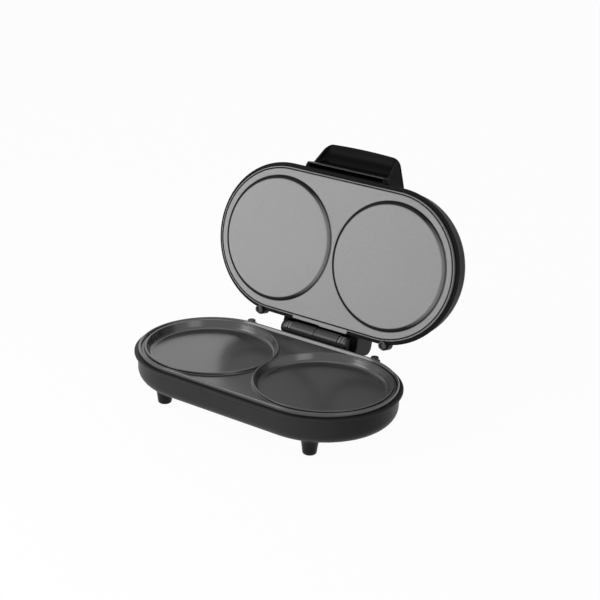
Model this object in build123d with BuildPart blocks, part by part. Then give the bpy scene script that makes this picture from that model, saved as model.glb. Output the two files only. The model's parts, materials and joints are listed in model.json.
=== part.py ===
from build123d import *
import os
from math import cos, hypot, radians, sin

os.makedirs("parts", exist_ok=True)

# A two-cup pancake maker, 1:1 in millimetres, shown with its lid open on its stop.
# The origin is on the table, midway between the two ends and under the middle of the
# lower plate. X runs along the plate, Y to the hinge and Z up.

# Cooking plates
cup_radius = 74.6
cup_gap = 3.8             # between the two cups' mouths
cup_side = 10.65          # from a cup's mouth to the plate's long edge
cup_end = 8.9             # from a cup's mouth to the plate's round end
cup_depth = 10.0
cup_floor_round = 4.0
cup_lean = 2.2            # how much narrower a cup is at its floor
rim_height = 59.5         # top of the lower rim above the table
rim_side = 4.5            # height of the lower rim's outer side
rim_round = 1.4
rim_top = 1.2             # flat top of the rim
web_drop = 3.5            # from the rim's top down to the web between the cups
web_lean = 1.4
plate_thickness = 3.4
bead_width = 2.8
bead_height = 3.0         # of the bead round each cup, above the web
bead_round = 0.9
spigot_inset = 2.2
spigot_width = 3.0
spigot_depth = 8.5        # from the rim's top to the spigot's foot

# Upper plate
upper_thickness = 2.0
upper_rim_side = 3.2
groove_inset = 1.5
groove_width = 1.5
groove_depth = 1.2
disc_height = 3.5
disc_slope = 4.8
disc_round = 1.0
tab_length = 76.0         # of the tab over the barrel, in two steps
tab_reach = 2.8           # past the plate's straight edge
tab_step = 1.0            # the right half reaches this much further

# Housings
wall = 2.4
wall_margin = 0.6         # wall outside the plate's edge
lip_overhang = 4.1
lip_thickness = 3.0
lip_round = 0.9
seam_gap = 0.5            # dark line between a plate and its housing
housing_height = 33.7
base_round = 14.0
rib_thickness = 2.0
rib_reach = 5.0
rib_turn = 30.0
rib_pitch = 25.0
fit_gap = 0.15            # between fitted pieces of one body
foot_height = rim_height - rim_side - seam_gap - housing_height

# Lid
frame_height = 15.3
cover_height = 14.0
cover_round = 9.0
deck_thickness = 2.0
tongue_height = 4.0
tongue_width = 2.0
closing_gap = 0.8         # between the rims with the lid shut
lid_open = 103.6          # degrees, the stop

# Hinge
hinge_setback = 14.6      # axis behind the plate's straight edge
hinge_drop = 0.8          # axis below the lower rim's top
pin_radius = 3.0
running_fit = 0.06
sleeve_radius = 8.7
sleeve_step = 0.2          # the right-hand sleeve is this much slimmer
sleeve_length = 32.6
collar_radius = 7.6
collar_length = 7.4
washer_radius = 7.2
washer_length = 2.2
knuckle_radius = 7.0
knuckle_length = 3.1
hinge_gap = 0.4           # end play between the pieces on the axis
cheek_start = 49.2
cheek_thickness = 3.2
cheek_front = 4.2         # front edge of a cheek, from the plate's face
block_front = 1.0         # the same for the block inside it
cheek_reach = 13.3        # behind the axis
cheek_round = 9.0
pin_seat = 2.3            # how far the pin goes into a knuckle
box_wall = 2.8
box_rise = 5.6            # of the hinge box above the lid's back
box_lap = 8.0             # it laps this far over the lid
box_rear_bottom = 13.0    # the box's rear wall starts this far from the plate's face
cradle_wall = 3.2
cradle_lip = 2.0          # front edge of the cradle above the rim
cradle_depth = 27.0       # its foot below the rim
stop_gap = 0.3
stop_start = 7.5          # of the stop face behind the axis
stop_reach = 3.1          # of the stop face past the box's wall

# Rear lugs and buffers
lug_offset = 10.5         # outside a cup's middle
lug_setback = 4.35        # behind the plate's straight edge
lug_radius = 4.75
lug_recess_radius = 3.0
lug_recess_depth = 2.2
lug_face = -1.0           # lug's end, from the upper plate's face, towards the cups
lug_tail = 14.0
lug_boss = 6.4
lug_spigot = 2.5
buffer_gap = 0.4

# Handle
handle_root = 128.4
handle_tip = 98.8
handle_reach = 34.5       # beyond the housing wall
handle_round = 9.0
handle_lean = 13.2        # degrees, of the shell's walls
handle_skin = 3.0
handle_side = 3.4
ledge_length = 106.6
ledge_edge = 1.5          # thickness of its front edge
ledge_low = -1.0
ledge_high = 7.0
ledge_round = 1.2

# Heating and wiring
element_radius = 3.25
upper_element_radius = 2.6
element_inset = 29.6       # of the loop from a cup's mouth
element_gap = 34.0        # between the two cold ends
element_leg = 13.0
element_bend = 7.0
element_rib_width = 11.0
element_rib_depth = 4.4
boss_pitch = 48.0
boss_radius = 5.0
screw_radius = 2.0
screw_head_radius = 3.8
screw_head_height = 2.6
screw_bite = 9.0
shield_thickness = 0.8
shield_inset = 32.0
shield_rise = 6.0         # of the lower shield above the housing's floor
lid_shield_gap = 2.0      # between the lid's deck and its shield
pillar_radius = 7.0
terminal_radius = 1.6

# Feet
foot_offset = 23.5        # outside a cup's middle
foot_inset_front = 29.85  # from the wall
foot_inset_rear = 13.85
foot_top_radius = 10.0
foot_tip_radius = 7.8
foot_round = 2.4
foot_stretch = 1.3        # the cone runs on this much, up to the tray's round edge
foot_spigot_radius = 4.0
foot_spigot = 5.0
pad_radius = 4.6
pad_thickness = 2.0
pad_proud = 0.4

# Small parts
gland_radius = 5.2
gland_flange = 6.8
gland_x = 66.0
gland_recess = 3.4
vent_length = 34.0
vent_width = 3.0
vent_pitch = 8.0
vent_count = 5
lamp_radius = 2.6
lamp_pitch = 22.0
lamp_inset = 23.85
lamp_proud = 0.8
lamp_flange = 1.4
lamp_length = 11.0
thermostat_size = (24.0, 14.0, 9.0)
fuse_radius = 2.0
fuse_length = 14.0
block_size = (34.0, 14.0, 12.0)
block_x = 40.0
block_inset = 22.85
thermostat_inset = 23.85
terminal_length = 5.0
counterbore = 3.4
screw_slot = 4.4
screw_recess = 1.2
lug_seat = 3.5
gland_lip = 1.5
side_screw_x = 37.5
hinge_screw_x = 12.5
side_bite = 5.0
groove_pitch = 2.6
upper_spigot = 7.5        # foot of the upper plate's spigot
lid_leg = 8.0
cover_screw_offset = 16.5  # inside a cup's middle
cover_screw_inset = 19.85
cover_seam = 0.3
grip_depth = 23.5         # of the concave grip, along the plate
grip_back = 26.4          # inner face of the scoop's back, from the plate's face
grip_round = 11.0
wall_foot = 11.4          # where a side wall's sloping edge meets the ledge
handle_bite = 7.0
handle_fall = 1.8
handle_boss = 8.4

# Levels and places that follow
cup_pitch = 2 * cup_radius + cup_gap
element_reach = cup_radius - element_inset
plate_length = cup_pitch + 2 * (cup_radius + cup_end)
plate_width = 2 * (cup_radius + cup_side)
lip_top = rim_height - rim_side - seam_gap
wall_length = plate_length + 2 * wall_margin
wall_width = plate_width + 2 * wall_margin
web_level = rim_height - web_drop
web_under = web_level - plate_thickness
cup_floor = rim_height - cup_depth
cup_under = cup_floor - plate_thickness
rib_under = cup_under - element_rib_depth
spigot_foot = rim_height - spigot_depth
floor_top = foot_height + wall
shield_level = floor_top + shield_rise
end_radius = wall_width / 2
lug_x = cup_pitch / 2 + lug_offset
lug_y = plate_width / 2 + lug_setback
foot_x = cup_pitch / 2 + foot_offset
foot_y_front = wall_width / 2 - foot_inset_front
foot_y_rear = wall_width / 2 - foot_inset_rear
feet = {
    "front_left": (-foot_x, -foot_y_front),
    "front_right": (foot_x, -foot_y_front),
    "rear_left": (-cup_pitch / 2, foot_y_rear),
    "rear_right": (cup_pitch / 2, foot_y_rear),
}
lamp_y = wall_width / 2 - lamp_inset
block_y = wall_width / 2 - block_inset
thermostat_y = wall_width / 2 - thermostat_inset
cover_screw_x = cup_pitch / 2 - cover_screw_offset
cover_screw_y = wall_width / 2 - cover_screw_inset
end_x = (wall_length - wall_width) / 2
hinge_y = plate_width / 2 + hinge_setback
hinge_z = rim_height - hinge_drop
lid_lip = upper_rim_side + seam_gap
frame_top = lid_lip + frame_height
lid_back = frame_top + cover_height
deck_level = frame_top - deck_thickness - 1.0
sleeve_start = hinge_gap / 2
collar_start = sleeve_start + sleeve_length + hinge_gap
washer_start = collar_start + collar_length + hinge_gap
knuckle_start = washer_start + washer_length + fit_gap
pin_half = knuckle_start + pin_seat
cradle_half = washer_start - hinge_gap / 2
box_half = cheek_start + cheek_thickness
box_back = lid_back + box_rise
box_front = lid_lip + lip_thickness + fit_gap
lid_rib = upper_thickness + element_rib_depth
lid_shield = deck_level - lid_shield_gap - shield_thickness
side_screw_level = (upper_spigot + deck_level) / 2
rear_screw_level = rim_height - 14.0
gland_level = rim_height - 22.0
buffer_top = rim_height + closing_gap + lug_face - buffer_gap
grip_foot = -wall_width / 2 - handle_reach + grip_depth

# The lid is drawn as it lies shut, on a plane turned open about the hinge axis:
# its x runs along the plate, its y to the hinge and its z from the cooking face
# to the lid's back. Local z is 0 on the cooking face.
turn = radians(lid_open)
closed_height = rim_height + closing_gap - hinge_z
lid_plane = Plane(
    origin=(
        0,
        hinge_y - hinge_y * cos(turn) + closed_height * sin(turn),
        hinge_z + hinge_y * sin(turn) + closed_height * cos(turn),
    ),
    x_dir=(1, 0, 0),
    z_dir=(0, sin(turn), cos(turn)),
)
lid_axis = Axis(lid_plane.origin, lid_plane.z_dir)
pin_z = -closed_height    # the hinge axis in the lid's own frame


def lid_section(x, y):
    """Plane square to the lid through (x, y), its own y along the lid's depth."""
    return Plane(
        origin=lid_plane.from_local_coords((x, y, 0)),
        x_dir=lid_plane.x_dir,
        z_dir=-lid_plane.y_dir,
    )


def lid_side(x):
    """Plane square to the hinge axis at x: its x is the lid's y, its y the lid's z."""
    return Plane(
        origin=lid_plane.from_local_coords((x, 0, 0)),
        x_dir=lid_plane.y_dir,
        z_dir=lid_plane.x_dir,
    )


def lid_ray(x, y):
    """Axis through (x, y) along the lid's depth."""
    return Axis(lid_plane.from_local_coords((x, y, 0)), lid_plane.z_dir)


def element_path(z, leg):
    """Corners of the heating loop: up one leg, round both cups and down the other."""
    gap, reach, far = element_gap / 2, element_reach, cup_pitch / 2 + element_reach
    loop = [(-gap, -reach, z), (-far, -reach, z), (-far, reach, z)]
    back = [(far, reach, z), (far, -reach, z), (gap, -reach, z)]
    return [(-gap, -reach, z + leg)] + loop + back + [(gap, -reach, z + leg)]


loop_round = element_reach - 0.5
element_bends = [element_bend] + 4 * [loop_round] + [element_bend]


# Lower plate: die-cast, with two cups in a sunk web
with BuildPart() as lower_plate:
    with BuildSketch(Plane.XY.offset(rim_height - rim_side)):
        SlotOverall(plate_length, plate_width)
    extrude(amount=rim_side)
    fillet(lower_plate.edges().group_by(Axis.Z)[-1], rim_round)
    with BuildSketch(Plane.XY.offset(spigot_foot)):
        SlotOverall(plate_length - 2 * spigot_inset, plate_width - 2 * spigot_inset)
    extrude(amount=spigot_depth - rim_side)
    inner = 2 * (spigot_inset + spigot_width)
    with BuildSketch(Plane.XY.offset(spigot_foot)):
        SlotOverall(plate_length - inner, plate_width - inner)
    extrude(amount=web_under - spigot_foot, mode=Mode.SUBTRACT)
    top_inset = 2 * (rim_round + rim_top - 0.4)
    floor_inset = top_inset + 2 * web_lean
    with BuildSketch(Plane.XY.offset(rim_height)):
        SlotOverall(plate_length - top_inset, plate_width - top_inset)
    with BuildSketch(Plane.XY.offset(web_level)):
        SlotOverall(plate_length - floor_inset, plate_width - floor_inset)
    loft(mode=Mode.SUBTRACT)
    # the rib that carries the heating loop
    far = cup_pitch + 2 * element_reach
    with BuildSketch(Plane.XY.offset(rib_under)):
        SlotOverall(far + element_rib_width, 2 * element_reach + element_rib_width)
        SlotOverall(
            far - element_rib_width, 2 * element_reach - element_rib_width, mode=Mode.SUBTRACT
        )
    extrude(amount=web_under - rib_under + 0.5)
    # bosses for the plate screws
    with BuildSketch(Plane.XY.offset(shield_level + shield_thickness)):
        with GridLocations(cup_pitch, boss_pitch, 2, 2):
            Circle(boss_radius)
    extrude(amount=cup_under - shield_level - shield_thickness + 0.5)
    for side in (-1, 1):
        centre = side * cup_pitch / 2
        bowl_radius = cup_radius + plate_thickness
        # bowl and bead
        with BuildSketch(Plane.XZ) as bowl:
            with BuildLine():
                Polyline(
                    (centre, cup_under),
                    (centre + side * (bowl_radius - cup_lean), cup_under),
                    (centre + side * bowl_radius, web_under),
                    (centre + side * bowl_radius, web_level - 0.5),
                    (centre, web_level - 0.5),
                    close=True,
                )
            make_face()
        revolve(axis=Axis((centre, 0, 0), (0, 0, 1)))
        with BuildSketch(Plane.XZ) as bead:
            with Locations((centre + side * (cup_radius + bead_width / 2), web_level)):
                Rectangle(bead_width, 2 * bead_height)
            chamfer(bead.vertices().group_by(Axis.Y)[-1], bead_round)
        revolve(axis=Axis((centre, 0, 0), (0, 0, 1)))
    for side in (-1, 1):
        centre = side * cup_pitch / 2
        with BuildSketch(Plane.XZ) as cup:
            with BuildLine():
                Polyline(
                    (centre, cup_floor),
                    (centre + side * (cup_radius - cup_lean), cup_floor),
                    (centre + side * cup_radius, web_level + bead_height - bead_round),
                    (centre + side * cup_radius, rim_height + 1),
                    (centre, rim_height + 1),
                    close=True,
                )
            make_face()
            corner = cup.vertices().group_by(Axis.Y)[0].sort_by(Axis.X)[0 if side < 0 else -1]
            fillet(corner, cup_floor_round)
        revolve(axis=Axis((centre, 0, 0), (0, 0, 1)), mode=Mode.SUBTRACT)
    with BuildLine(Plane.XY) as groove_line:
        FilletPolyline(*element_path(rib_under, 0)[1:-1], radius=4 * [loop_round])
    with BuildSketch(Plane(origin=groove_line.line @ 0, z_dir=groove_line.line % 0)):
        Circle(element_radius + fit_gap)
    sweep(path=groove_line.line, mode=Mode.SUBTRACT)
    # clear the bend of each cold end
    with BuildSketch(Plane.XY.offset(rib_under - 1)):
        with Locations((0, -element_reach)):
            Rectangle(element_gap + 4 * element_bend, element_rib_width + 2)
    extrude(amount=element_rib_depth + 1, mode=Mode.SUBTRACT)
    with BuildSketch(Plane.XY.offset(shield_level)):
        with GridLocations(cup_pitch, boss_pitch, 2, 2):
            Circle(screw_radius + fit_gap / 2)
    extrude(amount=screw_bite + 2, mode=Mode.SUBTRACT)
lower_plate.part.label = "lower_plate"
export_step(lower_plate.part, "parts/lower_plate.step")


# Base housing: moulded tray with a lip, feet sockets and screw pillars
with BuildPart() as tray_hollow:
    with BuildSketch(Plane.XY.offset(floor_top)):
        SlotOverall(wall_length - 2 * wall, wall_width - 2 * wall)
    extrude(amount=housing_height)
    fillet(tray_hollow.edges().group_by(Axis.Z)[0], base_round - wall)
with BuildPart() as base_housing:
    with BuildSketch(Plane.XY.offset(lip_top - lip_thickness)):
        SlotOverall(wall_length + 2 * lip_overhang, wall_width + 2 * lip_overhang)
    extrude(amount=lip_thickness)
    fillet(base_housing.edges().group_by(Axis.Z)[-1], lip_round)
    fillet(base_housing.edges().group_by(Axis.Z)[0], lip_round)
    with BuildSketch(Plane.XY.offset(foot_height)):
        SlotOverall(wall_length, wall_width)
    extrude(amount=housing_height)
    fillet(base_housing.edges().group_by(Axis.Z)[0], base_round)
    # ears under the rear buffers
    with BuildSketch(Plane.XY.offset(lip_top - 2 * lip_thickness)):
        with GridLocations(2 * lug_x, 1, 2, 1):
            with Locations((0, lug_y)):
                Circle(lug_boss)
    extrude(amount=2 * lip_thickness)
    add(tray_hollow.part, mode=Mode.SUBTRACT)
    # ribs that carry the plate
    rib_radius = end_radius - wall - rib_reach / 2 + 0.5
    rib_foot = foot_height + 0.75 * base_round
    with BuildSketch(Plane.XY.offset(rib_foot)):
        with GridLocations(rib_pitch, 2 * rib_radius, 5, 2):
            Rectangle(rib_thickness, rib_reach + 1)
        for side in (-1, 1):
            for step in range(-2, 3):
                angle = radians(step * rib_turn)
                spot = (side * (end_x + rib_radius * cos(angle)), rib_radius * sin(angle), 0)
                with Locations(Location(spot, (0, 0, side * step * rib_turn))):
                    Rectangle(rib_reach + 1, rib_thickness)
    extrude(amount=spigot_foot - rib_foot)
    # pillars and sockets
    with BuildSketch(Plane.XY.offset(floor_top - 0.5)):
        with GridLocations(cup_pitch, boss_pitch, 2, 2):
            Circle(pillar_radius)
    extrude(amount=shield_level - floor_top + 0.5)
    with BuildSketch(Plane.XY.offset(floor_top - 0.5)):
        for spot in feet.values():
            with Locations(spot):
                Circle(foot_spigot_radius + wall)
    extrude(amount=foot_spigot)
    with BuildSketch(Plane.XY.offset(foot_height)):
        for spot in feet.values():
            with Locations(spot):
                Circle(foot_spigot_radius + fit_gap)
    extrude(amount=foot_spigot + fit_gap, mode=Mode.SUBTRACT)
    with BuildSketch(Plane.XY.offset(foot_height)):
        with GridLocations(cup_pitch, boss_pitch, 2, 2):
            Circle(screw_radius + fit_gap)
    extrude(amount=shield_level - foot_height, mode=Mode.SUBTRACT)
    with BuildSketch(Plane.XY.offset(foot_height)):
        with GridLocations(cup_pitch, boss_pitch, 2, 2):
            Circle(screw_head_radius + 2 * fit_gap)
    extrude(amount=counterbore, mode=Mode.SUBTRACT)
    # air slots
    with BuildSketch(Plane.XY.offset(foot_height)):
        with GridLocations(1, vent_pitch, 1, vent_count):
            SlotOverall(vent_length, vent_width)
    extrude(amount=wall, mode=Mode.SUBTRACT)
    # holes for the buffers, the cord gland and the cradle's screws
    with BuildSketch(Plane.XY.offset(lip_top)):
        with GridLocations(2 * lug_x, 1, 2, 1):
            with Locations((0, lug_y)):
                Circle(lug_spigot + fit_gap)
    extrude(amount=-lug_seat - fit_gap, mode=Mode.SUBTRACT)
    with BuildSketch(Plane.XZ.offset(-wall_width / 2)):
        with Locations((gland_x, gland_level)):
            Circle(gland_radius + fit_gap)
    extrude(amount=2 * wall, mode=Mode.SUBTRACT)
    with BuildSketch(Plane.XZ.offset(-wall_width / 2)):
        with Locations((-side_screw_x, rear_screw_level), (side_screw_x, rear_screw_level)):
            Circle(screw_radius + fit_gap)
    extrude(amount=wall, mode=Mode.SUBTRACT)
base_housing.part.label = "base_housing"
export_step(base_housing.part, "parts/base_housing.step")

# Lower heating loop with its two cold pins
with BuildPart() as lower_element:
    with BuildLine() as lower_loop:
        FilletPolyline(*element_path(rib_under, -element_leg), radius=element_bends)
    with BuildSketch(Plane(origin=lower_loop.line @ 0, z_dir=lower_loop.line % 0)):
        Circle(element_radius)
    sweep(path=lower_loop.line)
    with BuildSketch(Plane.XY.offset(rib_under - element_leg + 1)):
        with Locations((-element_gap / 2, -element_reach), (element_gap / 2, -element_reach)):
            Circle(terminal_radius)
    extrude(amount=-terminal_length)
lower_element.part.label = "lower_element"
export_step(lower_element.part, "parts/lower_element.step")

# Lower heat shield, clamped between the pillars and the plate's bosses
with BuildPart() as lower_shield:
    with BuildSketch(Plane.XY.offset(shield_level)):
        SlotOverall(plate_length - 2 * shield_inset, plate_width - 2 * shield_inset)
        with GridLocations(cup_pitch, boss_pitch, 2, 2):
            Circle(screw_radius + fit_gap, mode=Mode.SUBTRACT)
        with Locations((0, -element_reach)):
            SlotOverall(element_gap + 14, 12, mode=Mode.SUBTRACT)
    extrude(amount=shield_thickness)
lower_shield.part.label = "lower_shield"
export_step(lower_shield.part, "parts/lower_shield.step")

# Screws up through the tray into the lower plate
with BuildPart() as base_screws:
    head_level = foot_height + counterbore
    with BuildSketch(Plane.XY.offset(head_level - screw_head_height)):
        with GridLocations(cup_pitch, boss_pitch, 2, 2):
            Circle(screw_head_radius)
    extrude(amount=screw_head_height)
    with BuildSketch(Plane.XY.offset(head_level - 0.2)):
        with GridLocations(cup_pitch, boss_pitch, 2, 2):
            Circle(screw_radius)
    extrude(amount=shield_level + shield_thickness + screw_bite - head_level + 0.2)
    with BuildSketch(Plane.XY.offset(head_level - screw_head_height)):
        with GridLocations(cup_pitch, boss_pitch, 2, 2):
            Rectangle(screw_slot, 1.0)
            Rectangle(1.0, screw_slot)
    extrude(amount=screw_recess, mode=Mode.SUBTRACT)
base_screws.part.label = "base_screws"
export_step(base_screws.part, "parts/base_screws.step")

# Thermostat against the plate's underside
with BuildPart() as thermostat:
    with BuildSketch(Plane.XY.offset(web_under)):
        with Locations((0, thermostat_y)):
            Rectangle(thermostat_size[0], thermostat_size[1])
    extrude(amount=-thermostat_size[2])
    chamfer(thermostat.edges().filter_by(Axis.Z), 2)
    with BuildSketch(Plane.XY.offset(web_under - thermostat_size[2])):
        with Locations((0, thermostat_y)):
            with GridLocations(thermostat_size[0] - 10, 1, 2, 1):
                Rectangle(0.8, 6)
    extrude(amount=-4)
thermostat.part.label = "thermostat"
export_step(thermostat.part, "parts/thermostat.step")

# Thermal fuse with its crimped leads
with BuildPart() as thermal_fuse:
    with BuildSketch(Plane.YZ.offset(-fuse_length / 2)):
        with Locations((-thermostat_y, web_under - fuse_radius - 0.05)):
            Circle(fuse_radius)
    extrude(amount=fuse_length)
    with BuildSketch(Plane.YZ.offset(-fuse_length / 2 - 6)):
        with Locations((-thermostat_y, web_under - fuse_radius - 0.05)):
            Circle(0.7)
    extrude(amount=fuse_length + 12)
thermal_fuse.part.label = "thermal_fuse"
export_step(thermal_fuse.part, "parts/thermal_fuse.step")

# Terminal block on the tray's floor
with BuildPart() as terminal_block:
    with BuildSketch(Plane.XY.offset(floor_top)):
        with Locations((block_x, block_y)):
            Rectangle(block_size[0], block_size[1])
    extrude(amount=block_size[2])
    with BuildSketch(Plane.XY.offset(floor_top + block_size[2])):
        with Locations((block_x, block_y)):
            with GridLocations(10, 1, 3, 1):
                Circle(2.2)
    extrude(amount=-8, mode=Mode.SUBTRACT)
terminal_block.part.label = "terminal_block"
export_step(terminal_block.part, "parts/terminal_block.step")

# Cord gland: a flanged bush in the rear wall, closed by a web
with BuildPart() as cord_gland:
    with BuildSketch(Plane.XZ.offset(-wall_width / 2)):
        with Locations((gland_x, gland_level)):
            Circle(gland_radius)
    extrude(amount=wall + 2)
    with BuildSketch(Plane.XZ.offset(-wall_width / 2)):
        with Locations((gland_x, gland_level)):
            Circle(gland_flange)
    extrude(amount=-gland_lip)
    with BuildSketch(Plane.XZ.offset(-wall_width / 2 - gland_lip)):
        with Locations((gland_x, gland_level)):
            Circle(gland_radius - 2.2)
    extrude(amount=gland_recess, mode=Mode.SUBTRACT)
cord_gland.part.label = "cord_gland"
export_step(cord_gland.part, "parts/cord_gland.step")

# Feet and their rubber pads
with BuildPart() as tray_envelope:
    with BuildSketch(Plane.XY.offset(foot_height)):
        SlotOverall(wall_length, wall_width)
    extrude(amount=housing_height)
    fillet(tray_envelope.edges().group_by(Axis.Z)[0], base_round)
for name, spot in feet.items():
    with BuildPart() as foot:
        with Locations((spot[0], spot[1], pad_proud)):
            Cone(
                foot_tip_radius,
                foot_tip_radius + (foot_top_radius - foot_tip_radius) * foot_stretch,
                (foot_height - pad_proud) * foot_stretch,
                align=(Align.CENTER, Align.CENTER, Align.MIN),
            )
        fillet(foot.edges().group_by(Axis.Z)[0], foot_round)
        add(tray_envelope.part, mode=Mode.SUBTRACT)
        with BuildSketch(Plane.XY.offset(foot_height)):
            with Locations(spot):
                Circle(foot_spigot_radius)
        extrude(amount=foot_spigot)
        with BuildSketch(Plane.XY.offset(pad_proud)):
            with Locations(spot):
                Circle(pad_radius + fit_gap)
        extrude(amount=pad_thickness - pad_proud, mode=Mode.SUBTRACT)
    foot.part.label = "foot_" + name
    export_step(foot.part, "parts/foot_" + name + ".step")
    with BuildPart() as pad:
        with BuildSketch(Plane.XY):
            with Locations(spot):
                Circle(pad_radius)
        extrude(amount=pad_thickness)
        chamfer(pad.edges().group_by(Axis.Z)[0], 0.3)
    pad.part.label = "pad_" + name
    export_step(pad.part, "parts/pad_" + name + ".step")

# Hinge cradle: a saddle screwed to the tray's rear wall, with a stop face below it
stop_low = lid_plane.from_local_coords((0, hinge_y + cheek_reach + stop_reach, box_rear_bottom - stop_gap))
stop_high = lid_plane.from_local_coords((0, hinge_y + stop_start, box_rear_bottom - stop_gap))
saddle_radius = sleeve_radius + fit_gap
with BuildPart() as hinge_cradle:
    with BuildSketch(Plane.YZ.offset(-cradle_half)):
        with BuildLine():
            Polyline(
                (wall_width / 2, rim_height - cradle_depth),
                (wall_width / 2, lip_top - lip_thickness - fit_gap),
                (wall_width / 2 + lip_overhang + fit_gap, lip_top - lip_thickness - fit_gap),
                (wall_width / 2 + lip_overhang + fit_gap, rim_height + cradle_lip),
                (hinge_y, rim_height + cradle_lip),
                (hinge_y, hinge_z - 1),
                (hinge_y + saddle_radius + cradle_wall, hinge_z - 1),
                (hinge_y + saddle_radius + cradle_wall, stop_high.Z),
                (stop_low.Y, stop_low.Z),
                close=True,
            )
        make_face()
    extrude(amount=2 * cradle_half)
    with BuildSketch(Plane.YZ.offset(-cradle_half)):
        with Locations((hinge_y, hinge_z)):
            Circle(saddle_radius)
        with Locations((hinge_y + 1, hinge_z + saddle_radius / 2)):
            Rectangle(2 * saddle_radius - 2, saddle_radius + 4)
    extrude(amount=2 * cradle_half, mode=Mode.SUBTRACT)
    with BuildSketch(Plane.XZ.offset(-wall_width / 2)):
        with Locations((-side_screw_x, rear_screw_level), (side_screw_x, rear_screw_level)):
            Circle(screw_radius + fit_gap / 2)
    extrude(amount=-side_bite - fit_gap, mode=Mode.SUBTRACT)
hinge_cradle.part.label = "hinge_cradle"
export_step(hinge_cradle.part, "parts/hinge_cradle.step")

# Screws from inside the tray into the cradle
with BuildPart() as cradle_screws:
    with BuildSketch(Plane.XZ.offset(-wall_width / 2 + wall)):
        with Locations((-side_screw_x, rear_screw_level), (side_screw_x, rear_screw_level)):
            Circle(screw_head_radius)
    extrude(amount=screw_head_height)
    with BuildSketch(Plane.XZ.offset(-wall_width / 2 + wall + 0.2)):
        with Locations((-side_screw_x, rear_screw_level), (side_screw_x, rear_screw_level)):
            Circle(screw_radius)
    extrude(amount=-wall - side_bite - 0.2)
cradle_screws.part.label = "cradle_screws"
export_step(cradle_screws.part, "parts/cradle_screws.step")

# Satin sleeves, slim collars and washers round the pin
for side, name in ((-1, "left"), (1, "right")):
    sleeve_outer = sleeve_radius - (sleeve_step if side > 0 else 0)
    with BuildPart() as sleeve:
        with BuildSketch(Plane.YZ.offset(side * sleeve_start)):
            with Locations((hinge_y, hinge_z)):
                Circle(sleeve_outer)
                Circle(pin_radius + running_fit, mode=Mode.SUBTRACT)
        extrude(amount=side * sleeve_length)
        rims = sleeve.edges().filter_by(lambda e: e.radius > pin_radius + 1 if e.geom_type == GeomType.CIRCLE else False)
        chamfer(rims, 0.5)
    sleeve.part.label = "hinge_sleeve_" + name
    export_step(sleeve.part, "parts/hinge_sleeve_" + name + ".step")
    with BuildPart() as collar:
        with BuildSketch(Plane.YZ.offset(side * collar_start)):
            with Locations((hinge_y, hinge_z)):
                Circle(collar_radius)
                Circle(pin_radius + running_fit, mode=Mode.SUBTRACT)
        extrude(amount=side * collar_length)
    collar.part.label = "hinge_collar_" + name
    export_step(collar.part, "parts/hinge_collar_" + name + ".step")
    with BuildPart() as washer:
        with BuildSketch(Plane.YZ.offset(side * washer_start)):
            with Locations((hinge_y, hinge_z)):
                Circle(washer_radius)
                Circle(pin_radius + running_fit, mode=Mode.SUBTRACT)
        extrude(amount=side * washer_length)
    washer.part.label = "hinge_washer_" + name
    export_step(washer.part, "parts/hinge_washer_" + name + ".step")

# Hinge pin, held in blind bores of the lid's knuckles
with BuildPart() as hinge_pin:
    with BuildSketch(Plane.YZ.offset(-pin_half)):
        with Locations((hinge_y, hinge_z)):
            Circle(pin_radius)
    extrude(amount=2 * pin_half)
    chamfer(hinge_pin.edges(), 0.4)
hinge_pin.part.label = "hinge_pin"
export_step(hinge_pin.part, "parts/hinge_pin.step")

# Rear buffers on the tray's ears
for side, name in ((-1, "left"), (1, "right")):
    with BuildPart() as buffer:
        with BuildSketch(Plane.XY.offset(lip_top)):
            with Locations((side * lug_x, lug_y)):
                Circle(lug_radius)
        extrude(amount=buffer_top - lip_top)
        fillet(buffer.edges().group_by(Axis.Z)[-1], 0.8)
        with BuildSketch(Plane.XY.offset(lip_top)):
            with Locations((side * lug_x, lug_y)):
                Circle(lug_spigot)
        extrude(amount=-lug_seat)
    buffer.part.label = "buffer_" + name
    export_step(buffer.part, "parts/buffer_" + name + ".step")

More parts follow.
